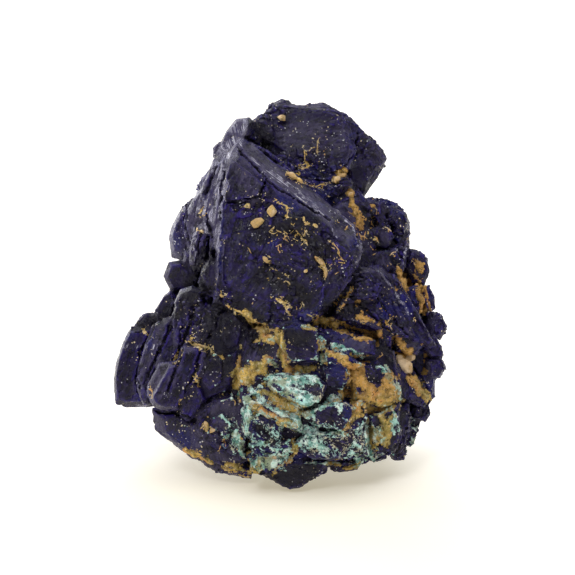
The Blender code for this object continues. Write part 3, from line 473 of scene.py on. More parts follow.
# Patches that the front view doesn't show: (centre in mm, radius, strength)
hiddenClay = (
    ((15.0, 4.0, 12.0), 5.0, 0.9),
    ((-8.0, 12.0, 16.0), 5.5, 0.8),
    ((4.0, 13.0, 8.0), 5.0, 0.9),
    ((6.0, 10.0, 27.0), 4.5, 0.8),
    ((-13.0, 2.0, 7.0), 4.0, 0.8),
    ((-5.0, 8.0, 33.0), 4.0, 0.7),
    ((17.0, 0.0, 22.0), 3.0, 0.2),
)
hiddenMalachite = (
    ((10.0, 11.0, 10.0), 4.5, 0.8),
    ((-3.0, 14.0, 22.0), 4.0, 0.7),
    ((14.0, -4.0, 5.0), 3.5, 0.7),
    ((-12.0, 6.0, 13.0), 3.0, 0.6),
)

surfaceLook = {
    "voxel": 0.185,  # mm, the mesh's fineness before it is thinned
    "triangles": 190000,
    "stepHeight": 0.24,  # mm, the highest growth step
    "stepSize": (1.5, 4.2),  # mm across and along the growth lines
    "striaeHeight": 0.09,  # mm
    "striaeSize": 0.5,  # mm between growth lines
    "chipDepth": 0.28,  # mm off the edges
    "rubbleHeight": 0.62,  # mm in the broken places
    "cleftDepth": 0.38,  # mm
    "footClear": 0.6,  # mm above the surface it stands on where the relief begins
    "bumpRounds": 14,  # rounds of blurring that find the solid's edges and hollows
    "edgeRounds": 5,  # and the same for the finished surface
    "hollowRounds": 40,
}
# Which way growth lines run, by place on the front: (right, up, reach, direction right, up, out)
grainPlaces = (
    (2.0, 11.0, 9.0, (0.78, -0.62, 0.05)),
    (-9.5, 8.0, 8.5, (-0.3, -0.95, 0.1)),
    (-12.0, -9.0, 9.0, (-0.45, -0.88, 0.1)),
    (4.0, 18.5, 6.5, (0.9, 0.3, 0.0)),
    (12.0, -1.0, 6.0, (0.5, -0.85, 0.0)),
    (3.0, -15.0, 9.0, (0.9, -0.35, 0.0)),
)


def cellHeights(across, along, key, seed):
    # flat patches with straight sides: a height from 0 to 1 for each
    place = np.stack((across, along), axis=-1)
    cell = np.floor(place)
    nearest = np.full(len(place), 1e9)
    height = np.zeros(len(place))
    for right in (-1, 0, 1):
        for up in (-1, 0, 1):
            corner = cell + (right, up)
            mixed = corner[:, 0] * 127.1 + corner[:, 1] * 311.7 + key * 74.7 + seed * 19.3
            chance = [hashed(mixed + k * 1.37, 43758.5453 + k * 101.7) for k in range(3)]
            away = np.hypot(corner[:, 0] + chance[0] - across, corner[:, 1] + chance[1] - along)
            closer = away < nearest
            nearest[closer] = away[closer]
            height[closer] = chance[2][closer]
    return height


def wispMarks():
    # short bent lines, thickly strewn near the middle of each place
    chance = np.random.default_rng(29)
    marks = []
    for middle, reach, many in wispPlaces:
        for _ in range(many):
            place = np.array(middle) + chance.standard_normal(2) * reach * 0.5
            turn, line = chance.uniform(0, math.tau), [tuple(place)]
            for _ in range(chance.integers(1, 4)):
                turn += chance.uniform(-0.9, 0.9)
                place = place + np.array((math.cos(turn), math.sin(turn))) * chance.uniform(0.2, 0.5)
                line.append(tuple(place))
            marks.append((chance.uniform(0.07, 0.14), 0.9, tuple(line)))
    return tuple(marks)


def strokeMask(places, marks):
    # how far inside the nearest mark each place lies: 1 on its line, 0 at its edge, below 0 outside
    result = np.full(len(places), -9.0)
    for halfWidth, strength, line in marks:
        line = np.array(line)
        reach = halfWidth * 2.5 + 1.0
        within = (places > line.min(axis=0) - reach) & (places < line.max(axis=0) + reach)
        near = np.flatnonzero(within.all(axis=1))
        if not len(near):
            continue
        close = places[near]
        away = np.full(len(near), 1e9)
        for start, end in zip(line, line[1:]):
            along = end - start
            share = np.clip(((close - start) @ along) / max(along @ along, 1e-9), 0, 1)
            away = np.minimum(away, np.linalg.norm(close - start - share[:, None] * along, axis=1))
        result[near] = np.maximum(result[near], 1 - away / max(halfWidth, 0.13) - (1 - strength) * 0.6)
    return result


def ballMask(points, patches):
    # the same for patches that are balls in space
    result = np.full(len(points), -9.0)
    for centre, radius, strength in patches:
        away = np.linalg.norm(points - np.array(centre), axis=1) / radius
        result = np.maximum(result, (1 - away) * 2 - (1 - strength))
    return result


def facetsOf(mesh):
    # the solid's flat faces: a search tree, each face's normal, a key, and two random numbers
    corners = meshPoints(mesh)
    faces = [tuple(p.vertices) for p in mesh.polygons]
    tree = BVHTree.FromPolygons([tuple(c) for c in corners], faces)
    triangles = np.array(faces)
    first, second, third = (corners[triangles[:, k]] for k in range(3))
    normals = unitRows(np.cross(second - first, third - first), 1e-12)
    level = (normals * first).sum(axis=1)
    key = np.round(normals * 12) @ np.array((12.9898, 78.233, 37.719)) + np.round(level * 1.5) * 4.1414
    key = hashed(key, 437.58) * 100
    chances = [hashed(key * scale) for scale in (1.0, 1.7)]
    return {"tree": tree, "normals": normals, "key": key, "chances": np.stack(chances, axis=-1)}


def growthAxes(points, normals, chances):
    # the direction of the growth lines on each facet, and the direction across them
    places = frontPlace(points)
    lines = np.where(chances[:, :1] > 0.5, np.array((0.5, -0.3, 0.8)), np.array((-0.3, 0.4, 0.85)))
    for x, y, reach, (right, up, out) in grainPlaces:
        near = (np.hypot(places[:, 0] - x, places[:, 1] - y) < reach) & (places[:, 2] > -8)
        lines[near] = rightAxis * right + upAxis * up + outAxis * out
    across = unitRows(np.cross(normals, lines), 1e-6)
    return across, np.cross(across, normals)


def zoneMasks(points, normals, bump):
    # where clay, malachite and broken ground lie: above 0 inside, about 1 at the most
    places = frontPlace(points)
    sway = np.stack([layeredNoise(points, 0.8, seed, 2) - 0.5 for seed in (71, 73)], axis=-1)
    flat = places[:, :2] + sway * 0.7
    onPlane = np.column_stack((flat, np.zeros(len(flat))))
    hidden = 6 * (1 - smoothRamp(normals @ outAxis, -0.25, 0.1) * smoothRamp(places[:, 2], -16, -10))
    behind = 6 * (1 - smoothRamp(places[:, 2], -12, -6))

    def seen(marks):
        return strokeMask(flat, marks) - hidden

    fine = layeredNoise(points, 0.55, 5, 3) - 0.5
    broad = layeredNoise(points, 2.0, 8, 3) - 0.5
    upward = smoothRamp(normals[:, 2], 0.1, 0.8)
    hollow = smoothRamp(-bump, 0.0, 0.25)
    ridge = smoothRamp(bump, 0.02, 0.12)
    ground = ballMask(onPlane, clayGrounds) * 0.5 - 1.1 + hollow * 1.4 - ridge - hidden
    clay = np.maximum(seen(clayMarks), ground)
    clay = np.maximum(clay, ballMask(points, hiddenClay) * 0.7 - 0.8 + hollow * 1.1)
    clay = np.clip(clay, -3, 1) + fine * 2.4 + broad * 1.4
    ground = ballMask(onPlane, malachiteGrounds) * 0.5 - 1.5 + upward * 0.4 + ridge * 1.2 - hidden
    green = np.maximum(seen(malachiteMarks), ground)
    green = np.maximum(green, ballMask(points, hiddenMalachite) * 0.6 - 0.9 + upward * 0.4 + ridge * 0.9)
    green = np.clip(green, -3, 1) + fine * 2.2 + broad * 0.6
    bare = smoothRamp(strokeMask(flat, bareMarks) - behind + fine, -0.2, 0.4) * 4
    clay, green = clay - bare, green - bare
    crumbs = np.clip(seen(crumbMarks + wispMarks()), -3, 1) + fine * 1.6 + broad * 0.9
    widened = tuple((width * 2.0 + 0.3, strength, line) for width, strength, line in crumbMarks)
    veined = seen(widened)
    calm = smoothRamp(strokeMask(flat, calmMarks) - behind + broad, -0.4, 0.3)
    rough = np.maximum(seen(roughMarks), (layeredNoise(points, 7.0, 9) - 0.56) * 8)
    silver = seen(silverMarks)
    shade = seen(shadeMarks)
    lace = np.maximum(seen(laceMarks), ballMask(points, hiddenMalachite) * 0.5)
    blue = np.maximum(seen(blueMarks), (layeredNoise(points, 4.0, 14) - 0.62) * 8)
    grey = smoothRamp(seen(greyMarks) + broad * 0.6, 0.0, 0.4)
    heart = np.maximum(ballMask(onPlane, malachiteGrounds) - hidden, ballMask(points, hiddenMalachite))
    cleft = smoothRamp(seen(cleftMarks) + fine * 0.8, 0.0, 0.6)
    footGap = 9 * (1 - smoothRamp(points[:, 2], 0.7, 1.3))
    return {
        "clay": clay - footGap,
        "malachite": green - footGap,
        "crumbs": crumbs - footGap,
        "veined": veined - footGap,
        "rough": smoothRamp(rough + broad - footGap, -0.2, 0.5) * (1 - 0.85 * calm),
        "shade": np.maximum(smoothRamp(shade + broad * 1.5, -0.3, 0.6), cleft),
        "blue": blue + broad,
        "calm": calm, "grey": grey, "lace": lace, "heart": heart, "silver": silver, "cleft": cleft,
    }


def crystalRelief(points, bump, facets, facet, masks):
    # growth steps, growth lines, broken ground and chipped edges
    look = surfaceLook
    flat, key, chances = facets["normals"][facet], facets["key"][facet], facets["chances"][facet]
    acrossAxis, alongAxis = growthAxes(points, flat, chances)
    warp = layeredNoise(points, 2.6, 31, 2) - 0.5
    across = (points * acrossAxis).sum(axis=1) + warp * 0.5
    along = (points * alongAxis).sum(axis=1) + warp * 1.2
    wide, tall = look["stepSize"]
    steps = cellHeights(across / wide, along / tall, key, 1) * 0.7
    steps = steps + cellHeights(across / 0.55, along / 1.6, key, 2) * 0.3
    lively = 1 - 0.7 * masks["calm"]
    height = (np.round(steps * 5) / 5 - 0.6) * look["stepHeight"] * (0.35 + chances[:, 0]) * lively
    height += (layeredNoise(points, 5.0, 35, 2) - 0.55) * 0.1 * lively
    striae = np.abs(np.modf(across / look["striaeSize"] + warp * 1.3)[0]) * lineNoise(across, 1.3, 33)
    height += (striae - 0.3) * look["striaeHeight"] * (0.3 + 1.2 * chances[:, 1])
    rubble = cellHeights(across / 0.8, along / 0.95, key, 3) * 0.7
    rubble = rubble + cellHeights(across / 0.36, along / 0.45, key, 4) * 0.3
    height += masks["rough"] * (rubble - 0.72) * look["rubbleHeight"]
    chips = smoothRamp(cellHeights(across / 0.6, along / 0.8, key, 5), 0.5, 0.6)
    chips = chips * smoothRamp(bump, 0.02, 0.08)
    height -= chips * look["chipDepth"] * layeredNoise(points, 1.5, 51, 2) * lively
    height += smoothRamp(masks["silver"], 0.0, 0.8) * 0.16 * (1 - masks["calm"])
    height -= masks["cleft"] * look["cleftDepth"]
    return points + flat * height[:, None]


def makeSurface():
    # the fine surface: the solid's own flat faces with relief on them, and what lies where
    look = surfaceLook
    solid = bmesh.new()
    solid.from_mesh(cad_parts[nodeName].data)
    bmesh.ops.remove_doubles(solid, verts=solid.verts, dist=1e-7)
    bmesh.ops.scale(solid, vec=(1000, 1000, 1000), verts=solid.verts)
    bmesh.ops.triangulate(solid, faces=solid.faces)
    mesh = bpy.data.meshes.new("solidInMm")
    solid.to_mesh(mesh)
    solid.free()
    facets = facetsOf(mesh)
    even = addObject("evenSurface", mesh)
    remesh = even.modifiers.new("even", "REMESH")
    remesh.mode = "VOXEL"
    remesh.voxel_size = look["voxel"] * 1
    mesh = plainMesh(even)
    points, normals, edges = meshPoints(mesh), meshNormals(mesh), meshEdges(mesh)
    found = [facets["tree"].find_nearest(p) for p in points.tolist()]
    facet = np.array([f[2] for f in found])
    snapped = np.array([tuple(f[0]) for f in found])
    # above 0 on edges and below in hollows
    bump = -((blurred(points, edges, look["bumpRounds"]) - points) * normals).sum(axis=1)
    masks = zoneMasks(snapped, normals, bump)
    moved = crystalRelief(snapped, bump, facets, facet, masks)
    foot = smoothRamp(points[:, 2], 0.15, look["footClear"])[:, None]
    moved = snapped + (moved - snapped) * foot
    moved[:, 2] = np.maximum(moved[:, 2], 0.0)
    setPoints(mesh, moved)
    near = blurred(moved, edges, look["edgeRounds"]) - moved
    wide = blurred(moved, edges, look["hollowRounds"]) - moved
    normals = meshNormals(mesh)
    chances = facets["chances"][facet]
    flat = facets["normals"][facet]
    # painted highlight and sheen: faces turned to the left get pale streaks and grey, as if lit from the
    # back left; the grey marks and some facets at random get the grey too
    leftward = smoothRamp(-flat[:, 0], 0.3, 0.75) * (0.1 + 0.45 * chances[:, 1])
    silver = np.maximum(smoothRamp(masks["silver"], -0.3, 0.4), leftward * (1 - masks["rough"]))
    turnedLeft = smoothRamp(-flat[:, 0], 0.25, 0.5) * smoothRamp(-points[:, 1], -4, 2)
    side = np.maximum(np.maximum(turnedLeft, smoothRamp(chances[:, 1], 0.74, 0.78)), masks["grey"])
    stored = {
        "clay": smoothRamp(masks["clay"], -0.9, 0.5),
        "malachite": smoothRamp(masks["malachite"], -1.1, 0.5),
        "crumbs": smoothRamp(masks["crumbs"], -0.2, 0.7),
        "silver": silver * (1 - masks["shade"]),
        "shade": masks["shade"],
        **{name: smoothRamp(masks[name], 0.0, 0.5) for name in ("veined", "lace", "blue", "heart")},
        "side": side * (1 - 0.5 * masks["rough"]),
        "rough": masks["rough"],
        "edge": smoothRamp(-(near * normals).sum(axis=1), 0.01, 0.07),
        "hollow": smoothRamp((wide * normals).sum(axis=1), 0.05, 0.7),
        "tone": chances[:, 0],
        "across": growthAxes(snapped, flat, chances)[0],
    }
    for name, values in stored.items():
        storeOnPoints(mesh, name, values)
    print("fine surface:", len(points), "points")
    return mesh, masks


def thinned(mesh):
    thin = addObject("thinned", mesh.copy())
    decimate = thin.modifiers.new("thin", "DECIMATE")
    decimate.ratio = min(1.0, surfaceLook["triangles"] / (2 * len(mesh.polygons)))
    thinMesh = plainMesh(thin)
    setPoints(thinMesh, meshPoints(thinMesh) * metresPerMm)
    print("crystals:", len(thinMesh.polygons), "faces")
    return thinMesh


crusts = {
    "clayCrust": {"mask": "clay", "other": "malachite", "thickness": 0.08, "lumps": 0.36,
                  "lumpSize": 0.5, "seed": 61},
    "malachiteCrust": {"mask": "malachite", "other": "clay", "thickness": 0.04, "lumps": 0.2,
                       "lumpSize": 0.3, "seed": 67},
}
crustEdge = {
    "lift": 0.02,  # mm over the crystals at the rim
    "root": 0.12,  # mm into the crystals
    "footGap": 0.3,  # mm kept free above the surface it stands on
}


def crustMesh(name, surface, amount, other, look):
    # a closed crust over the faces where the amount is above 0, thin at its edges
    points, normals = meshPoints(surface), meshNormals(surface)
    corners = readAll(surface.polygons, "vertices", 4, np.int32)
    clear = points[corners, 2].min(axis=1) > crustEdge["footGap"]
    corners = corners[(amount[corners].mean(axis=1) > 0) & clear]
    used, renamed = np.unique(corners, return_inverse=True)
    corners = renamed.reshape(-1, 4)
    inside = smoothRamp(amount[used], -0.1, 0.5)
    lumps = layeredNoise(points[used], look["lumpSize"], look["seed"], 3) - 0.3
    rise = inside * look["thickness"] + inside * look["lumps"] * lumps
    top = points[used] + normals[used] * (rise + crustEdge["lift"])[:, None]
    bottom = points[used] - normals[used] * crustEdge["root"]
    sides = corners[:, [0, 1, 1, 2, 2, 3, 3, 0]].reshape(-1, 2)
    code = sides.min(axis=1).astype(np.int64) * len(used) + sides.max(axis=1)
    _, first, count = np.unique(code, return_index=True, return_counts=True)
    rim = sides[first[count == 1]]
    many = len(used)
    walls = np.column_stack((rim[:, 1], rim[:, 0], rim[:, 0] + many, rim[:, 1] + many))
    faces = np.concatenate((corners, corners[:, ::-1] + many, walls))
    mesh = bpy.data.meshes.new(name)
    mesh.from_pydata((np.concatenate((top, bottom)) * metresPerMm).tolist(), [], faces.tolist())
    storeOnPoints(mesh, "other", np.tile(smoothRamp(other[used], -2.2, 0.6), 2))
    storeOnPoints(mesh, "thin", np.tile(1 - smoothRamp(amount[used], 0.0, 0.5), 2))
    mesh.shade_smooth()
    print(name + ":", 2 * len(faces), "triangles")
    return mesh


# Colours are linear
crystalLook = {
    "deep": (0.0024, 0.0014, 0.0075),
    "body": (0.0122, 0.0068, 0.048),
    # vivid blue: painted highlight on the edges, and patches of tone
    "vivid": (0.027, 0.014, 0.19),
    "royal": (0.010, 0.011, 0.135),
    # painted sheen: the grey of faces that reflect the light
    "paintedSheen": (0.055, 0.046, 0.100),
    # painted highlight: the pale streaks on the glint lines
    "silver": (0.60, 0.59, 0.72),
    # pale grey-white: painted glints
    "speck": (0.72, 0.72, 0.78),
    # dark brown: dirt, and painted shade in hollows
    "dirtAndShade": (0.016, 0.012, 0.006),
    "roughness": (0.17, 0.36),
    "sparkle": 0.7,
    "tilt": 0.16,
    "striaeBump": 0.6,
    "grainBump": 0.6,
}
clayLook = {
    "ochre": (0.78, 0.53, 0.135),
    "orange": (0.74, 0.34, 0.10),
    "cream": (0.90, 0.75, 0.46),
    "olive": (0.29, 0.25, 0.065),
    "rust": (0.66, 0.31, 0.075),  # the clay in the clefts at the right
    "shadow": (0.16, 0.085, 0.025),
    "crevice": (0.040, 0.028, 0.012),
    "buff": (0.62, 0.40, 0.19),  # lumps and threads
    "shell": (0.85, 0.64, 0.42),
    "pearl": (0.90, 0.70, 0.47),  # the large lump at the right
    "thinEdge": (0.10, 0.06, 0.025),
}
malachiteLook = {
    "teal": (0.11, 0.31, 0.26),
    "pale": (0.46, 0.78, 0.71),
    "white": (0.80, 0.94, 0.88),
    "moss": (0.22, 0.24, 0.11),
    "speckle": (0.006, 0.007, 0.026),
    "lace": (0.50, 0.80, 0.74),
    "oldLace": (0.70, 0.66, 0.46),
}


def layeredColour(graph, colour, look, layers):
    # patches of more colours over the first: name, size in mm, detail, roughness, from, to, share
    for name, size, detail, roughness, low, high, share in layers:
        patches = graph.noise(size, detail, roughness).above(low, high)
        colour = graph.colourMix(patches * share, colour, look[name])
    return colour


def clayColour(graph):
    look = clayLook
    colour = layeredColour(graph, look["ochre"], look, (
        ("orange", 2.4, 3, 0.5, 0.52, 0.64, 1.0),
        ("olive", 1.7, 4, 0.6, 0.47, 0.6, 0.8),
        ("cream", 0.3, 3, 0.7, 0.5, 0.62, 0.7),
    ))
    right, height = graph.axis("X"), graph.axis("Z")
    rusty = right.above(0.003, 0.010) * height.above(0.009, 0.013)
    colour = graph.colourMix(rusty * 0.6, colour, look["rust"])
    low = right.above(0.009, 0.011) * (0.0125 - height).above(0.0, 0.002)
    low = low * graph.noise(0.7, 3).above(0.4, 0.55)
    colour = graph.colourMix(low * 0.55, colour, look["olive"])
    # painted shade: dark-brown shadow patches and dark pits over the clay
    return layeredColour(graph, colour, look, (
        ("shadow", 1.3, 5, 0.75, 0.48, 0.6, 0.5),
        ("crevice", 0.42, 4, 0.8, 0.56, 0.61, 0.9),
    ))


def malachiteColour(graph):
    return layeredColour(graph, malachiteLook["teal"], malachiteLook, (
        ("pale", 1.3, 4, 0.6, 0.4, 0.56, 1.0),
        ("white", 0.8, 4, 0.7, 0.47, 0.56, 0.85),
        ("moss", 1.8, 3, 0.5, 0.53, 0.63, 0.75),
        ("speckle", 0.7, 5, 0.9, 0.53, 0.57, 0.96),
    ))


def crystalMaterial():
    look = crystalLook
    material, graph, shader = newMaterial("azurite")
    place = graph.place
    edge, hollow, tone, rough, side = map(graph.attribute, ("edge", "hollow", "tone", "rough", "side"))
    clay, malachite, crumbs, veined = map(graph.attribute, ("clay", "malachite", "crumbs", "veined"))
    silver, shade, lace, blue, heart = map(graph.attribute, ("silver", "shade", "lace", "blue", "heart"))
    across = graph.attribute("across", "Vector")

    # growth lines: noise stretched along each crystal's own lines
    line = graph.vector("DOT_PRODUCT", place, across, out="Value")
    wander = graph.noise(4.0, 1) * (0.6 * metresPerMm)
    stretched = graph.add("ShaderNodeCombineXYZ", None, {"X": line + wander})
    striae = graph.noise(0.2, 3, 0.7, at=stretched)
    grain = graph.noise(0.22, 4, 0.65)
    blotch = graph.noise(1.6, 4, 0.6)

    # growth plates: cells drawn out along the same lines, each of its own shade and tilt
    drawn = graph.vector("ADD", place, graph.scaled(across, line * 1.7))
    plateCells = graph.cells(drawn, 0.85, "Color")
    chipCells = graph.cells(drawn, 0.36, "Color")
    plate = graph.vector("DOT_PRODUCT", plateCells, (1, 0, 0), out="Value")
    chip = graph.vector("DOT_PRODUCT", chipCells, (0, 1, 0), out="Value")

    shades = plate * 0.35 + chip * 0.25 + blotch * 0.9
    colour = graph.colourMix(shades.above(0.45, 1.0), look["deep"], look["body"])
    # painted highlight: convex edges drawn a lighter, vivid blue, none in hollows; random vivid patches
    # besides
    vivid = edge * 0.75 + tone.above(0.7, 1.0) * 0.15
    vivid = vivid + chip.above(0.84, 0.95) * 0.25 + grain.above(0.58, 0.75) * 0.15
    colour = graph.colourMix((vivid * (1 - hollow)).above(0.1, 1.3), colour, look["vivid"])
    colour = graph.colourMix(blue * (0.15 + chip * 0.75), colour, look["royal"])
    # painted sheen: the glint lines and the side faces drawn grey, as if they reflected the light
    sheenShare = silver * striae.above(0.4, 0.62) * 0.75 + side * (0.25 + plate * 0.55)
    colour = graph.colourMix(sheenShare.above(0.0, 1.0), colour, look["paintedSheen"])
    # painted highlights: pale silver streaks along the growth lines on the glint lines and left faces
    glow = silver.above(0.35, 0.75) * striae.above(0.48, 0.57)
    glow = glow * graph.noise(1.6, 3).above(0.38, 0.52)
    colour = graph.colourMix(glow * 0.9, colour, look["silver"])
    # painted shade: darker in hollows, on the shade marks and in the clefts; random dark patches besides
    dark = hollow * 0.8 + shade * 0.85 + graph.noise(1.1, 4, 0.65).above(0.55, 0.66) * 0.75
    colour = graph.colourMix(dark.above(0.0, 1.0) * 0.95, colour, look["deep"])

    # pale specks on every face, thicker in hollows: the white ones are painted glints, the cream ones
    # grains of clay; and stains round the crusts
    speck = graph.cells(place, 0.34)
    chance = graph.noise(2.6, 5, 0.75) + hollow * 0.04 + rough * 0.03 + heart * 0.04
    size = 0.34 * graph.noise(0.5, 1).above(0.3, 0.75)
    speckMask = (size - speck).above(0.0, 0.08) * chance.above(0.495, 0.56)
    warm = graph.noise(1.7, 2).above(0.46, 0.54)
    speckColour = graph.colourMix(warm, look["speck"], clayLook["cream"])
    # dirt in the broken ground, and painted shade in the hollows
    dirtAndShade = graph.noise(0.8, 4, 0.7).above(0.5, 0.62) * (rough * 0.8 + hollow * 0.6)
    stain = (clay + (grain - 0.5) * 1.6 + (blotch - 0.5)).above(0.55, 0.8)
    green = graph.noise(0.26, 4, 0.75)
    greenMask = (malachite * 0.9 + (green - 0.5) * 1.7).above(0.62, 0.8)
    colour = graph.colourMix(dirtAndShade * 0.6, colour, look["dirtAndShade"])
    cracked = (veined * 0.5 + (graph.noise(0.6, 2) - 0.5) * 1.8).above(0.42, 0.55)
    cracked = graph.threads(1.1, 0.022) * cracked
    veins = ((crumbs * 0.8 + (grain - 0.5) * 1.6).above(0.5, 0.7) + cracked).above(0.0, 0.9)
    creamy = graph.noise(0.7, 3).above(0.42, 0.6)
    veinHue = graph.colourMix(creamy, clayLook["ochre"], clayLook["cream"])
    colour = graph.colourMix(veins * 0.9, colour, veinHue)
    colour = graph.colourMix(stain * 0.8, colour, clayColour(graph))
    colour = graph.colourMix(greenMask * 0.9, colour, malachiteColour(graph))
    laced = (lace * 0.6 + (graph.noise(0.7, 3, 0.6) - 0.5) * 2.2).above(0.45, 0.6)
    laced = graph.threads(0.42, 0.05) * laced
    rim = edge.above(0.5, 0.95) * heart * graph.noise(1.1, 3).above(0.45, 0.55)
    aged = graph.noise(1.3, 2).above(0.45, 0.6)
    laceHue = graph.colourMix(aged, malachiteLook["lace"], malachiteLook["oldLace"])
    colour = graph.colourMix((laced + rim).above(0.0, 1.0) * 0.85, colour, laceHue)
    colour = graph.colourMix(speckMask * (1 - shade * 0.6) * 0.85, colour, speckColour)
    feed(graph, shader, "Base Color", colour)

    low, high = look["roughness"]
    dull = low + (high - low) * graph.noise(0.9, 3).above(0.3, 0.7) + rough * 0.1
    dull = dull + (0.95 - dull) * (stain + veins).above(0.0, 1.0)
    feed(graph, shader, "Roughness", dull + (0.75 - dull) * greenMask)

    # little facets that catch the light, then the growth lines and the grain
    normal = graph.add("ShaderNodeNewGeometry", out="Normal")
    facet = graph.vector("SUBTRACT", chipCells, (0.5, 0.5, 0.5))
    broadFacet = graph.vector("SUBTRACT", plateCells, (0.5, 0.5, 0.5))
    glint = graph.noise(0.8, 2).above(0.5, 0.62) * look["sparkle"] + rough * 0.4
    normal = graph.vector("ADD", normal, graph.scaled(facet, glint * (1 - stain)))
    normal = graph.vector("ADD", normal, graph.scaled(broadFacet, look["tilt"]))
    normal = graph.vector("NORMALIZE", normal, (0, 0, 0))
    lineBump = graph.bump(striae, look["striaeBump"], 0.00012, Normal=normal)
    rise = grain + stain * grain + greenMask * green
    feed(graph, shader, "Normal", graph.bump(rise, look["grainBump"], 0.00009, Normal=lineBump))
    shader.inputs["IOR"].default_value = 1.45
    shader.inputs["Specular IOR Level"].default_value = 0.34
    return material


def otherCrust(graph, low):
    # patches where the other crust shows
    return (graph.attribute("other") + (graph.noise(0.6, 4, 0.7) - 0.5) * 2.4).above(low, 1.0)


def clayMaterial(name="clay", paleness=0.0):
    look = clayLook
    material, graph, shader = newMaterial(name)
    pale = graph.noise(0.9, 3).above(0.3, 0.6) * paleness
    cream = graph.colourMix(graph.noise(1.4, 3).above(0.45, 0.58), look["buff"], look["shell"])
    colour = graph.colourMix(pale, clayColour(graph), cream)
    if paleness:
        pearl = graph.axis("X").above(0.0122, 0.0130) * graph.noise(0.8, 3).above(0.3, 0.5)
        colour = graph.colourMix(pearl * 0.6, colour, look["pearl"])
    greened = otherCrust(graph, 0.75) * 0.75
    colour = graph.colourMix(greened, colour, malachiteColour(graph))
    colour = graph.colourMix(graph.attribute("thin") * 0.5, colour, look["thinEdge"])
    feed(graph, shader, "Base Color", colour)
    shader.inputs["Roughness"].default_value = 0.92
    feed(graph, shader, "Normal", graph.bump(graph.noise(0.16, 4, 0.75), 0.9, 0.0002))
    return material


def malachiteMaterial():
    material, graph, shader = newMaterial("malachite")
    stained = otherCrust(graph, 0.8) * 0.8
    colour = graph.colourMix(stained, malachiteColour(graph), clayColour(graph))
    feed(graph, shader, "Base Color", colour)
    shader.inputs["Roughness"].default_value = 0.6
    feed(graph, shader, "Normal", graph.bump(graph.noise(0.12, 4, 0.75), 0.7, 0.00009))
    return material


def smallCrystalMaterial():
    material, graph, shader = newMaterial("smallCrystals")
    colour = layeredColour(graph, crystalLook["deep"], crystalLook, (
        ("body", 0.7, 3, 0.5, 0.35, 0.65, 1.0),
        ("vivid", 0.4, 2, 0.5, 0.52, 0.7, 0.5),
    ))
    feed(graph, shader, "Base Color", colour)
    feed(graph, shader, "Roughness", 0.22 + 0.25 * graph.noise(0.5, 2))
    feed(graph, shader, "Normal", graph.bump(graph.noise(0.12, 3), 0.3, 0.00005))
    shader.inputs["IOR"].default_value = 1.52
    return material


# Small shapes that get scattered

def lumpMesh(name, seed, levels=1, rough=0.35, flat=1.0):
    shape = bmesh.new()
    bmesh.ops.create_icosphere(shape, subdivisions=levels, radius=1.0)
    mesh = bpy.data.meshes.new(name)
    shape.to_mesh(mesh)
    shape.free()
    points = meshPoints(mesh)
    points *= (1 + rough * (latticeNoise(points, 0.9, seed)[:, None] - 0.5) * 2)
    points *= np.array((1.0, 0.8, flat))
    setPoints(mesh, points)
    return mesh


def tabletMesh(name, seed):
    # a small tabular crystal with a bevelled rim, as wide as 2 units
    chance = np.random.default_rng(seed)
    shape = bmesh.new()
    rings = []
    for level, share in ((-0.3, 0.8), (0.0, 1.0), (0.34, 0.76)):
        turns = (np.arange(6) + 0.15 * chance.standard_normal(6)) * math.tau / 6
        rings.append([shape.verts.new((math.cos(t) * share, math.sin(t) * share * 0.62, level))
                      for t in turns])
    for lower, upper in zip(rings, rings[1:]):
        for k in range(6):
            shape.faces.new((lower[k], lower[k - 5], upper[k - 5], upper[k]))
    shape.faces.new(rings[0][::-1])
    shape.faces.new(rings[-1])
    bmesh.ops.recalc_face_normals(shape, faces=shape.faces)
    mesh = bpy.data.meshes.new(name)
    shape.to_mesh(mesh)
    shape.free()
    return mesh


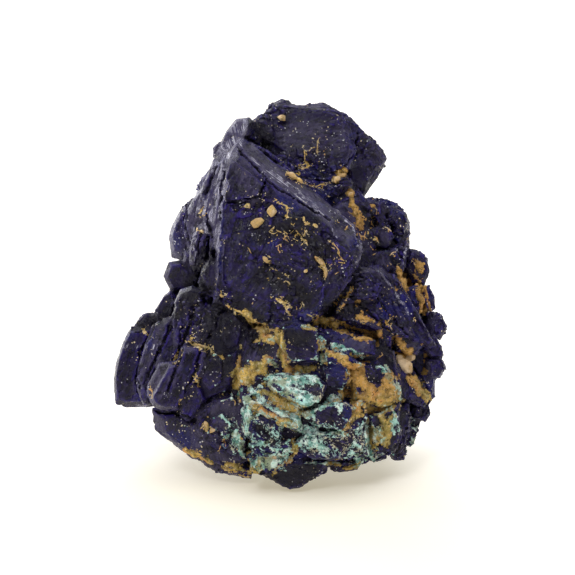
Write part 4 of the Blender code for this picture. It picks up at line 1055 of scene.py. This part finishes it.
def scatterTree(name, material):
    # spreads one shape over a surface wherever an attribute says so
    tree = bpy.data.node_groups.new(name, "GeometryNodeTree")
    sockets = (("Surface", "NodeSocketGeometry", None), ("Shape", "NodeSocketObject", None),
               ("Where", "NodeSocketString", "clay"), ("Threshold", "NodeSocketFloat", 0.3),
               ("Per Square Metre", "NodeSocketFloat", 1e6), ("Smallest", "NodeSocketFloat", 0.0001),
               ("Largest", "NodeSocketFloat", 0.0003), ("Sink", "NodeSocketFloat", 0.3),
               ("Tilt", "NodeSocketFloat", 0.6), ("Seed", "NodeSocketInt", 1))
    for label, kind, value in sockets:
        made = tree.interface.new_socket(label, in_out="INPUT", socket_type=kind)
        if value is not None:
            made.default_value = value
    tree.interface.new_socket("Pieces", in_out="OUTPUT", socket_type="NodeSocketGeometry")
    graph = Graph(tree)
    source = tree.nodes.new("NodeGroupInput")

    def given(label):
        return Wire(graph, source.outputs[label])

    where = graph.add("GeometryNodeInputNamedAttribute", None, {"Name": given("Where")})
    span = graph.add("ShaderNodeMapRange", None, {"Value": where, "From Min": given("Threshold")})
    spread = tree.nodes.new("GeometryNodeDistributePointsOnFaces")
    fed = {"Mesh": given("Surface"), "Density": span * given("Per Square Metre"), "Seed": given("Seed")}
    for label, value in fed.items():
        tree.links.new(value.socket, spread.inputs[label])
    sizes = graph.add("FunctionNodeRandomValue", {"data_type": "FLOAT"},
                      {2: given("Smallest"), 3: given("Largest"), "Seed": given("Seed") + 1}, out=1)
    turn = graph.add("FunctionNodeRandomValue", {"data_type": "FLOAT_VECTOR"},
                     {0: (-1.0, -1.0, -3.14), 1: (1.0, 1.0, 3.14), "Seed": given("Seed") + 2})
    tilt = graph.vector("MULTIPLY", turn, graph.add("ShaderNodeCombineXYZ", None,
                                                    {"X": given("Tilt"), "Y": given("Tilt"), "Z": 1.0}))
    turned = graph.add("FunctionNodeRotateRotation", {"rotation_space": "LOCAL"},
                       {0: Wire(graph, spread.outputs["Rotation"]), 1: tilt})
    sunk = graph.scaled(Wire(graph, spread.outputs["Normal"]), sizes * given("Sink") * -1.0)
    placed = graph.add("GeometryNodeSetPosition", None,
                       {"Geometry": Wire(graph, spread.outputs["Points"]), "Offset": sunk})
    shape = graph.add("GeometryNodeObjectInfo", None, {"Object": given("Shape")}, out="Geometry")
    copies = graph.add("GeometryNodeInstanceOnPoints", None,
                       {"Points": placed, "Instance": shape, "Rotation": turned, "Scale": sizes})
    solid = graph.add("GeometryNodeRealizeInstances", None, {"Geometry": copies})
    dressed = graph.add("GeometryNodeSetMaterial", None, {"Geometry": solid, "Material": material})
    sink = tree.nodes.new("NodeGroupOutput")
    tree.links.new(dressed.socket, sink.inputs["Pieces"])
    return tree


maskNames = ("clay", "malachite", "crumbs", "rough", "silver", "shade", "veined", "lace", "blue",
             "heart", "side", "edge", "hollow", "tone", "across")


def scattered(name, surface, shape, tree, values):
    # one finished piece of scattered shapes, as a plain mesh
    piece = addObject(name, surface.copy())
    modifier = piece.modifiers.new("scatter", "NODES")
    modifier.node_group = tree
    labels = {item.name: item.identifier for item in tree.interface.items_tree if item.in_out == "INPUT"}
    for label, value in {**values, "Shape": shape}.items():
        modifier[labels[label]] = value
    mesh = plainMesh(piece)
    for name in maskNames:
        if name in mesh.attributes:
            mesh.attributes.remove(mesh.attributes[name])
    print(name + ":", len(mesh.polygons), "faces")
    return mesh


scatters = {
    "clayGrains": {"Where": "clay", "Threshold": 0.45, "Per Square Metre": 7e6, "Seed": 3,
                   "Smallest": 0.00007, "Largest": 0.00024, "Sink": 0.25, "Tilt": 3.0},
    "clayCrumbs": {"Where": "crumbs", "Threshold": 0.4, "Per Square Metre": 1.1e7, "Seed": 5,
                   "Smallest": 0.00005, "Largest": 0.00014, "Sink": 0.3, "Tilt": 3.0},
    "malachiteGrains": {"Where": "malachite", "Threshold": 0.5, "Per Square Metre": 7e6, "Seed": 7,
                        "Smallest": 0.00005, "Largest": 0.00016, "Sink": 0.3, "Tilt": 3.0},
    "smallCrystals": {"Where": "rough", "Threshold": 0.3, "Per Square Metre": 1.1e6, "Seed": 11,
                      "Smallest": 0.00014, "Largest": 0.00042, "Sink": 0.35, "Tilt": 1.1},
}


def joined(name, parts, material):
    # many (points in mm, faces) put together as one mesh
    points = np.concatenate([p for p, _ in parts]) * metresPerMm
    faces, start = [], 0
    for part, partFaces in parts:
        faces += [tuple(start + k for k in face) for face in partFaces]
        start += len(part)
    mesh = bpy.data.meshes.new(name)
    mesh.from_pydata(points.tolist(), [], faces)
    mesh.materials.append(material)
    shape = bmesh.new()
    shape.from_mesh(mesh)
    bmesh.ops.recalc_face_normals(shape, faces=shape.faces)
    shape.to_mesh(mesh)
    shape.free()
    return mesh


chunkLook = {
    "breaks": 14,  # flat breaks on each lump
    "breakDepth": (0.45, 0.75),  # from the middle, as a share of its radius
    "uneven": 0.5,
    "flatness": 0.7,
    "lift": 0.5,  # out of the surface, as a share of its radius
}


def chunkParts(surfaceTree, rng):
    # lumps of clay where the picture shows them
    look = chunkLook
    base = lumpMesh("chunk", 5, levels=2, rough=0.3)
    points, faces = meshPoints(base), [tuple(p.vertices) for p in base.polygons]
    parts = []
    for seed, (x, y, radius, stretch, turn, *out) in enumerate(clayChunks, start=1):
        hit, normal, _, _ = surfaceTree.ray_cast(*frontRay(x, y))
        if hit is None:
            continue
        normal = np.array(normal) + outAxis * 0.6
        normal /= np.linalg.norm(normal)
        uneven = latticeNoise(points + seed * 3.1, 0.8, seed)[:, None] - 0.5
        shape = points * (1 + look["uneven"] * uneven)
        for _ in range(look["breaks"]):
            way = rng.standard_normal(3)
            way /= np.linalg.norm(way)
            over = np.maximum(shape @ way - rng.uniform(*look["breakDepth"]), 0)
            shape = shape - over[:, None] * way
        turn = math.radians(turn)
        level = rightAxis * math.cos(turn) + upAxis * math.sin(turn)
        side = level - normal * (level @ normal)
        side /= np.linalg.norm(side)
        shape = shape @ np.stack((side * stretch, np.cross(normal, side), normal * look["flatness"]))
        placed = np.array(hit) + shape * radius + normal * radius * look["lift"]
        parts.append((placed + outAxis * sum(out), faces))
    return parts


threadLook = {
    "step": 0.13,  # mm between rings
    "sway": 0.5,  # mm to either side
    "gaps": 0.36,  # more of it breaks the threads more often
    "jump": 0.5,  # mm; a thread ends where the surface drops by more
    "width": 0.85,  # as a share of its mark's half width
    "thinnest": 0.05,  # mm
    "flatness": 0.7,
    "sides": 6,
}


def threadParts(surfaceTree, rng):
    # thin broken threads of clay laid along the crumb lines and wisps
    look = threadLook
    parts = []
    turns = np.arange(look["sides"]) * math.tau / look["sides"]
    for width, _, line in crumbMarks + wispMarks():
        line = np.array(line)
        reach = np.concatenate(((0.0,), np.cumsum(np.linalg.norm(np.diff(line, axis=0), axis=1))))
        steps = np.arange(0.0, reach[-1], look["step"])
        flat = np.column_stack([np.interp(steps, reach, line[:, axis]) for axis in (0, 1)])
        sway = np.column_stack([lineNoise(steps, 0.5, rng.integers(1, 999)) for _ in (0, 1)]) - 0.5
        flat += sway * look["sway"]
        kept = lineNoise(steps, 0.7, rng.integers(1, 999)) > look["gaps"]
        run = []
        for place, keep in zip(flat, kept):
            hit, normal, _, _ = surfaceTree.ray_cast(*frontRay(*place))
            far = bool(run) and hit is not None and (hit - run[-1][0]).length > look["jump"]
            if run and (hit is None or not keep or far):
                parts += threadTube(run, width, turns, rng)
                run = []
            if hit is not None and keep:
                run.append((hit, normal))
        parts += threadTube(run, width, turns, rng)
    return parts


def threadTube(run, width, turns, rng):
    # one closed tube through places on the surface, drawn out to points
    if len(run) < 3:
        return []
    middles = np.array([tuple(hit) for hit, _ in run])
    normals = blurredRow(np.array([tuple(normal) for _, normal in run]))
    middles = blurredRow(middles)
    ahead = np.gradient(middles, axis=0)
    sides = unitRows(np.cross(ahead, normals))
    taper = np.sqrt(np.sin((np.arange(len(run)) + 0.6) / (len(run) + 0.2) * math.pi))
    look = threadLook
    radii = max(width * look["width"], look["thinnest"]) * taper * rng.uniform(0.35, 1.0, len(run))
    radii, turned = radii[:, None, None], turns[None, :, None]
    rings = (middles[:, None] + sides[:, None] * (np.cos(turned) * radii)
             + normals[:, None] * (0.02 + np.sin(turned) * radii * look["flatness"]))
    many = len(turns)
    last = (len(run) - 1) * many
    faces = [(r + k, r + (k + 1) % many, r + many + (k + 1) % many, r + many + k)
             for r in range(0, last, many) for k in range(many)]
    faces += [tuple(range(many))[::-1], tuple(last + k for k in range(many))]
    return [(rings.reshape(-1, 3), faces)]


def blurredRow(values):
    padded = np.concatenate((values[:1], values, values[-1:]))
    return (padded[:-2] + 2 * values + padded[2:]) / 4


# Piece, what makes its parts, seed, material and how pale it is
stuckOn = (
    ("clayChunks", chunkParts, 17, "paleClay", 0.85),
    ("clayThreads", threadParts, 23, "threadClay", 0.4),
)


def finishPiece(name, mesh, material=None):
    if material is not None:
        mesh.materials.clear()
        mesh.materials.append(material)
    piece = addObject(name, mesh)
    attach(piece, "root")
    return piece


def makeSpecimen():
    surface, masks = makeSurface()
    mesh = thinned(surface)
    mesh.shade_smooth()
    mesh.set_sharp_from_angle(angle=math.radians(30))
    crystals = finishPiece("crystals", mesh, crystalMaterial())
    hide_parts(nodeName)
    clay, malachite = clayMaterial(), malachiteMaterial()
    for name, look in crusts.items():
        crust = crustMesh(name, surface, masks[look["mask"]], masks[look["other"]], look)
        finishPiece(name, crust, clay if look["mask"] == "clay" else malachite)

    kinds = {
        "clayGrains": (lumpMesh("clayGrain", 2, 1, 0.4), clay),
        "clayCrumbs": (lumpMesh("crumb", 9, 1, 0.5), clay),
        "malachiteGrains": (lumpMesh("bead", 4, 1, 0.25), malachite),
        "smallCrystals": (tabletMesh("smallTablet", 6), smallCrystalMaterial()),
    }
    ground = surface.copy()
    setPoints(ground, meshPoints(ground) * metresPerMm)
    for name, values in scatters.items():
        shape = addObject(name + "Shape", kinds[name][0])
        grains = scattered(name, ground, shape, scatterTree(name + "Tree", kinds[name][1]), values)
        bpy.data.objects.remove(shape, do_unlink=True)
        finishPiece(name, grains)

    points = meshPoints(mesh) * 1000
    surfaceTree = BVHTree.FromPolygons(points.tolist(), [tuple(p.vertices) for p in mesh.polygons])
    for name, makeParts, seed, materialName, paleness in stuckOn:
        parts = makeParts(surfaceTree, np.random.default_rng(seed))
        stuck = joined(name, parts, clayMaterial(materialName, paleness))
        print(name + ":", len(parts), "parts,", len(stuck.polygons), "faces")
        finishPiece(name, stuck)


# Floor, light and camera

studio = {
    "floor": (0.62, 0.605, 0.58),
    "floorPatch": (0.64, 0.63, 0.61),
    "table": (1.0, 0.955, 0.85),  # a lit table under the paper
    "tableShadow": (0.52, 0.46, 0.31),  # painted shadow: a dimmer, warmer glow in front of the piece
    "tableStrength": 0.72,
    "world": 0.10,
    "sunStrength": 2.9,
    "sunAngle": math.radians(90),
    "sunFrom": (0.0, 0.3, 1.0),
    "aim": (0.0, -0.002, 0.024),
    "lamps": (  # name, place, width in m, power in W
        ("key", (-0.12, -0.30, 0.36), 0.14, 0.62),
        ("leftRim", (-0.36, 0.10, 0.16), 0.14, 0.4),
        ("leftBack", (-0.34, 0.36, 0.14), 0.34, 1.5),
    ),
    "sensor": 36.0,  # mm
}


def areaLight(name, place, size, power):
    data = bpy.data.lights.new(name, "AREA")
    data.shape = "DISK"
    data.size = size
    data.energy = power
    lamp = addObject(name, data)
    lamp.location = place
    lamp.visible_camera = False
    lamp.rotation_euler = (Vector(studio["aim"]) - Vector(place)).to_track_quat("-Z", "Y").to_euler()
    return lamp


def makeStudio():
    scene = bpy.context.scene
    bpy.ops.mesh.primitive_plane_add(size=4.0, location=(0, 0, 0))
    floor = bpy.context.object
    floor.name = "floor"
    material, graph, shader = newMaterial("paper")
    place = graph.place
    tint = graph.noise(60.0, 2)
    feed(graph, shader, "Base Color", graph.colourMix(tint, studio["floor"], studio["floorPatch"]))
    shader.inputs["Roughness"].default_value = 1.0
    shader.inputs["Specular IOR Level"].default_value = 0.0
    # painted shadow: the table glows dimmer and warmer near the front of the piece
    away = graph.vector("DISTANCE", place, (-0.006, -0.04, 0.0), out="Value")
    glow = graph.colourMix(away.above(0.018, 0.06), studio["tableShadow"], studio["table"])
    feed(graph, shader, "Emission Color", glow)
    shader.inputs["Emission Strength"].default_value = studio["tableStrength"]
    floor.data.materials.append(material)

    world = bpy.data.worlds.new("studio")
    world.use_nodes = True
    background = world.node_tree.nodes["Background"]
    background.inputs["Color"].default_value = (1, 1, 1, 1)
    background.inputs["Strength"].default_value = studio["world"]
    scene.world = world

    sunData = bpy.data.lights.new("ceiling", "SUN")
    sunData.energy = studio["sunStrength"]
    sunData.angle = studio["sunAngle"]
    sun = addObject("ceiling", sunData)
    sun.rotation_euler = Vector(studio["sunFrom"]).to_track_quat("Z", "Y").to_euler()

    lamps = [areaLight(*values) for values in studio["lamps"]]

    cameraData = bpy.data.cameras.new("camera")
    camera = addObject("camera", cameraData)
    target = np.array(view["target"]) * metresPerMm
    eye = target + outAxis * view["distance"] * metresPerMm
    camera.location = eye
    camera.rotation_euler = Vector(target - eye).to_track_quat("-Z", "Y").to_euler()
    cameraData.sensor_width = studio["sensor"]
    cameraData.lens = studio["sensor"] * view["distance"] / view["width"]
    cameraData.clip_start = 0.01
    cameraData.clip_end = 20.0
    scene.camera = camera
    scene.view_settings.view_transform = "Standard"


makeSpecimen()
makeStudio()
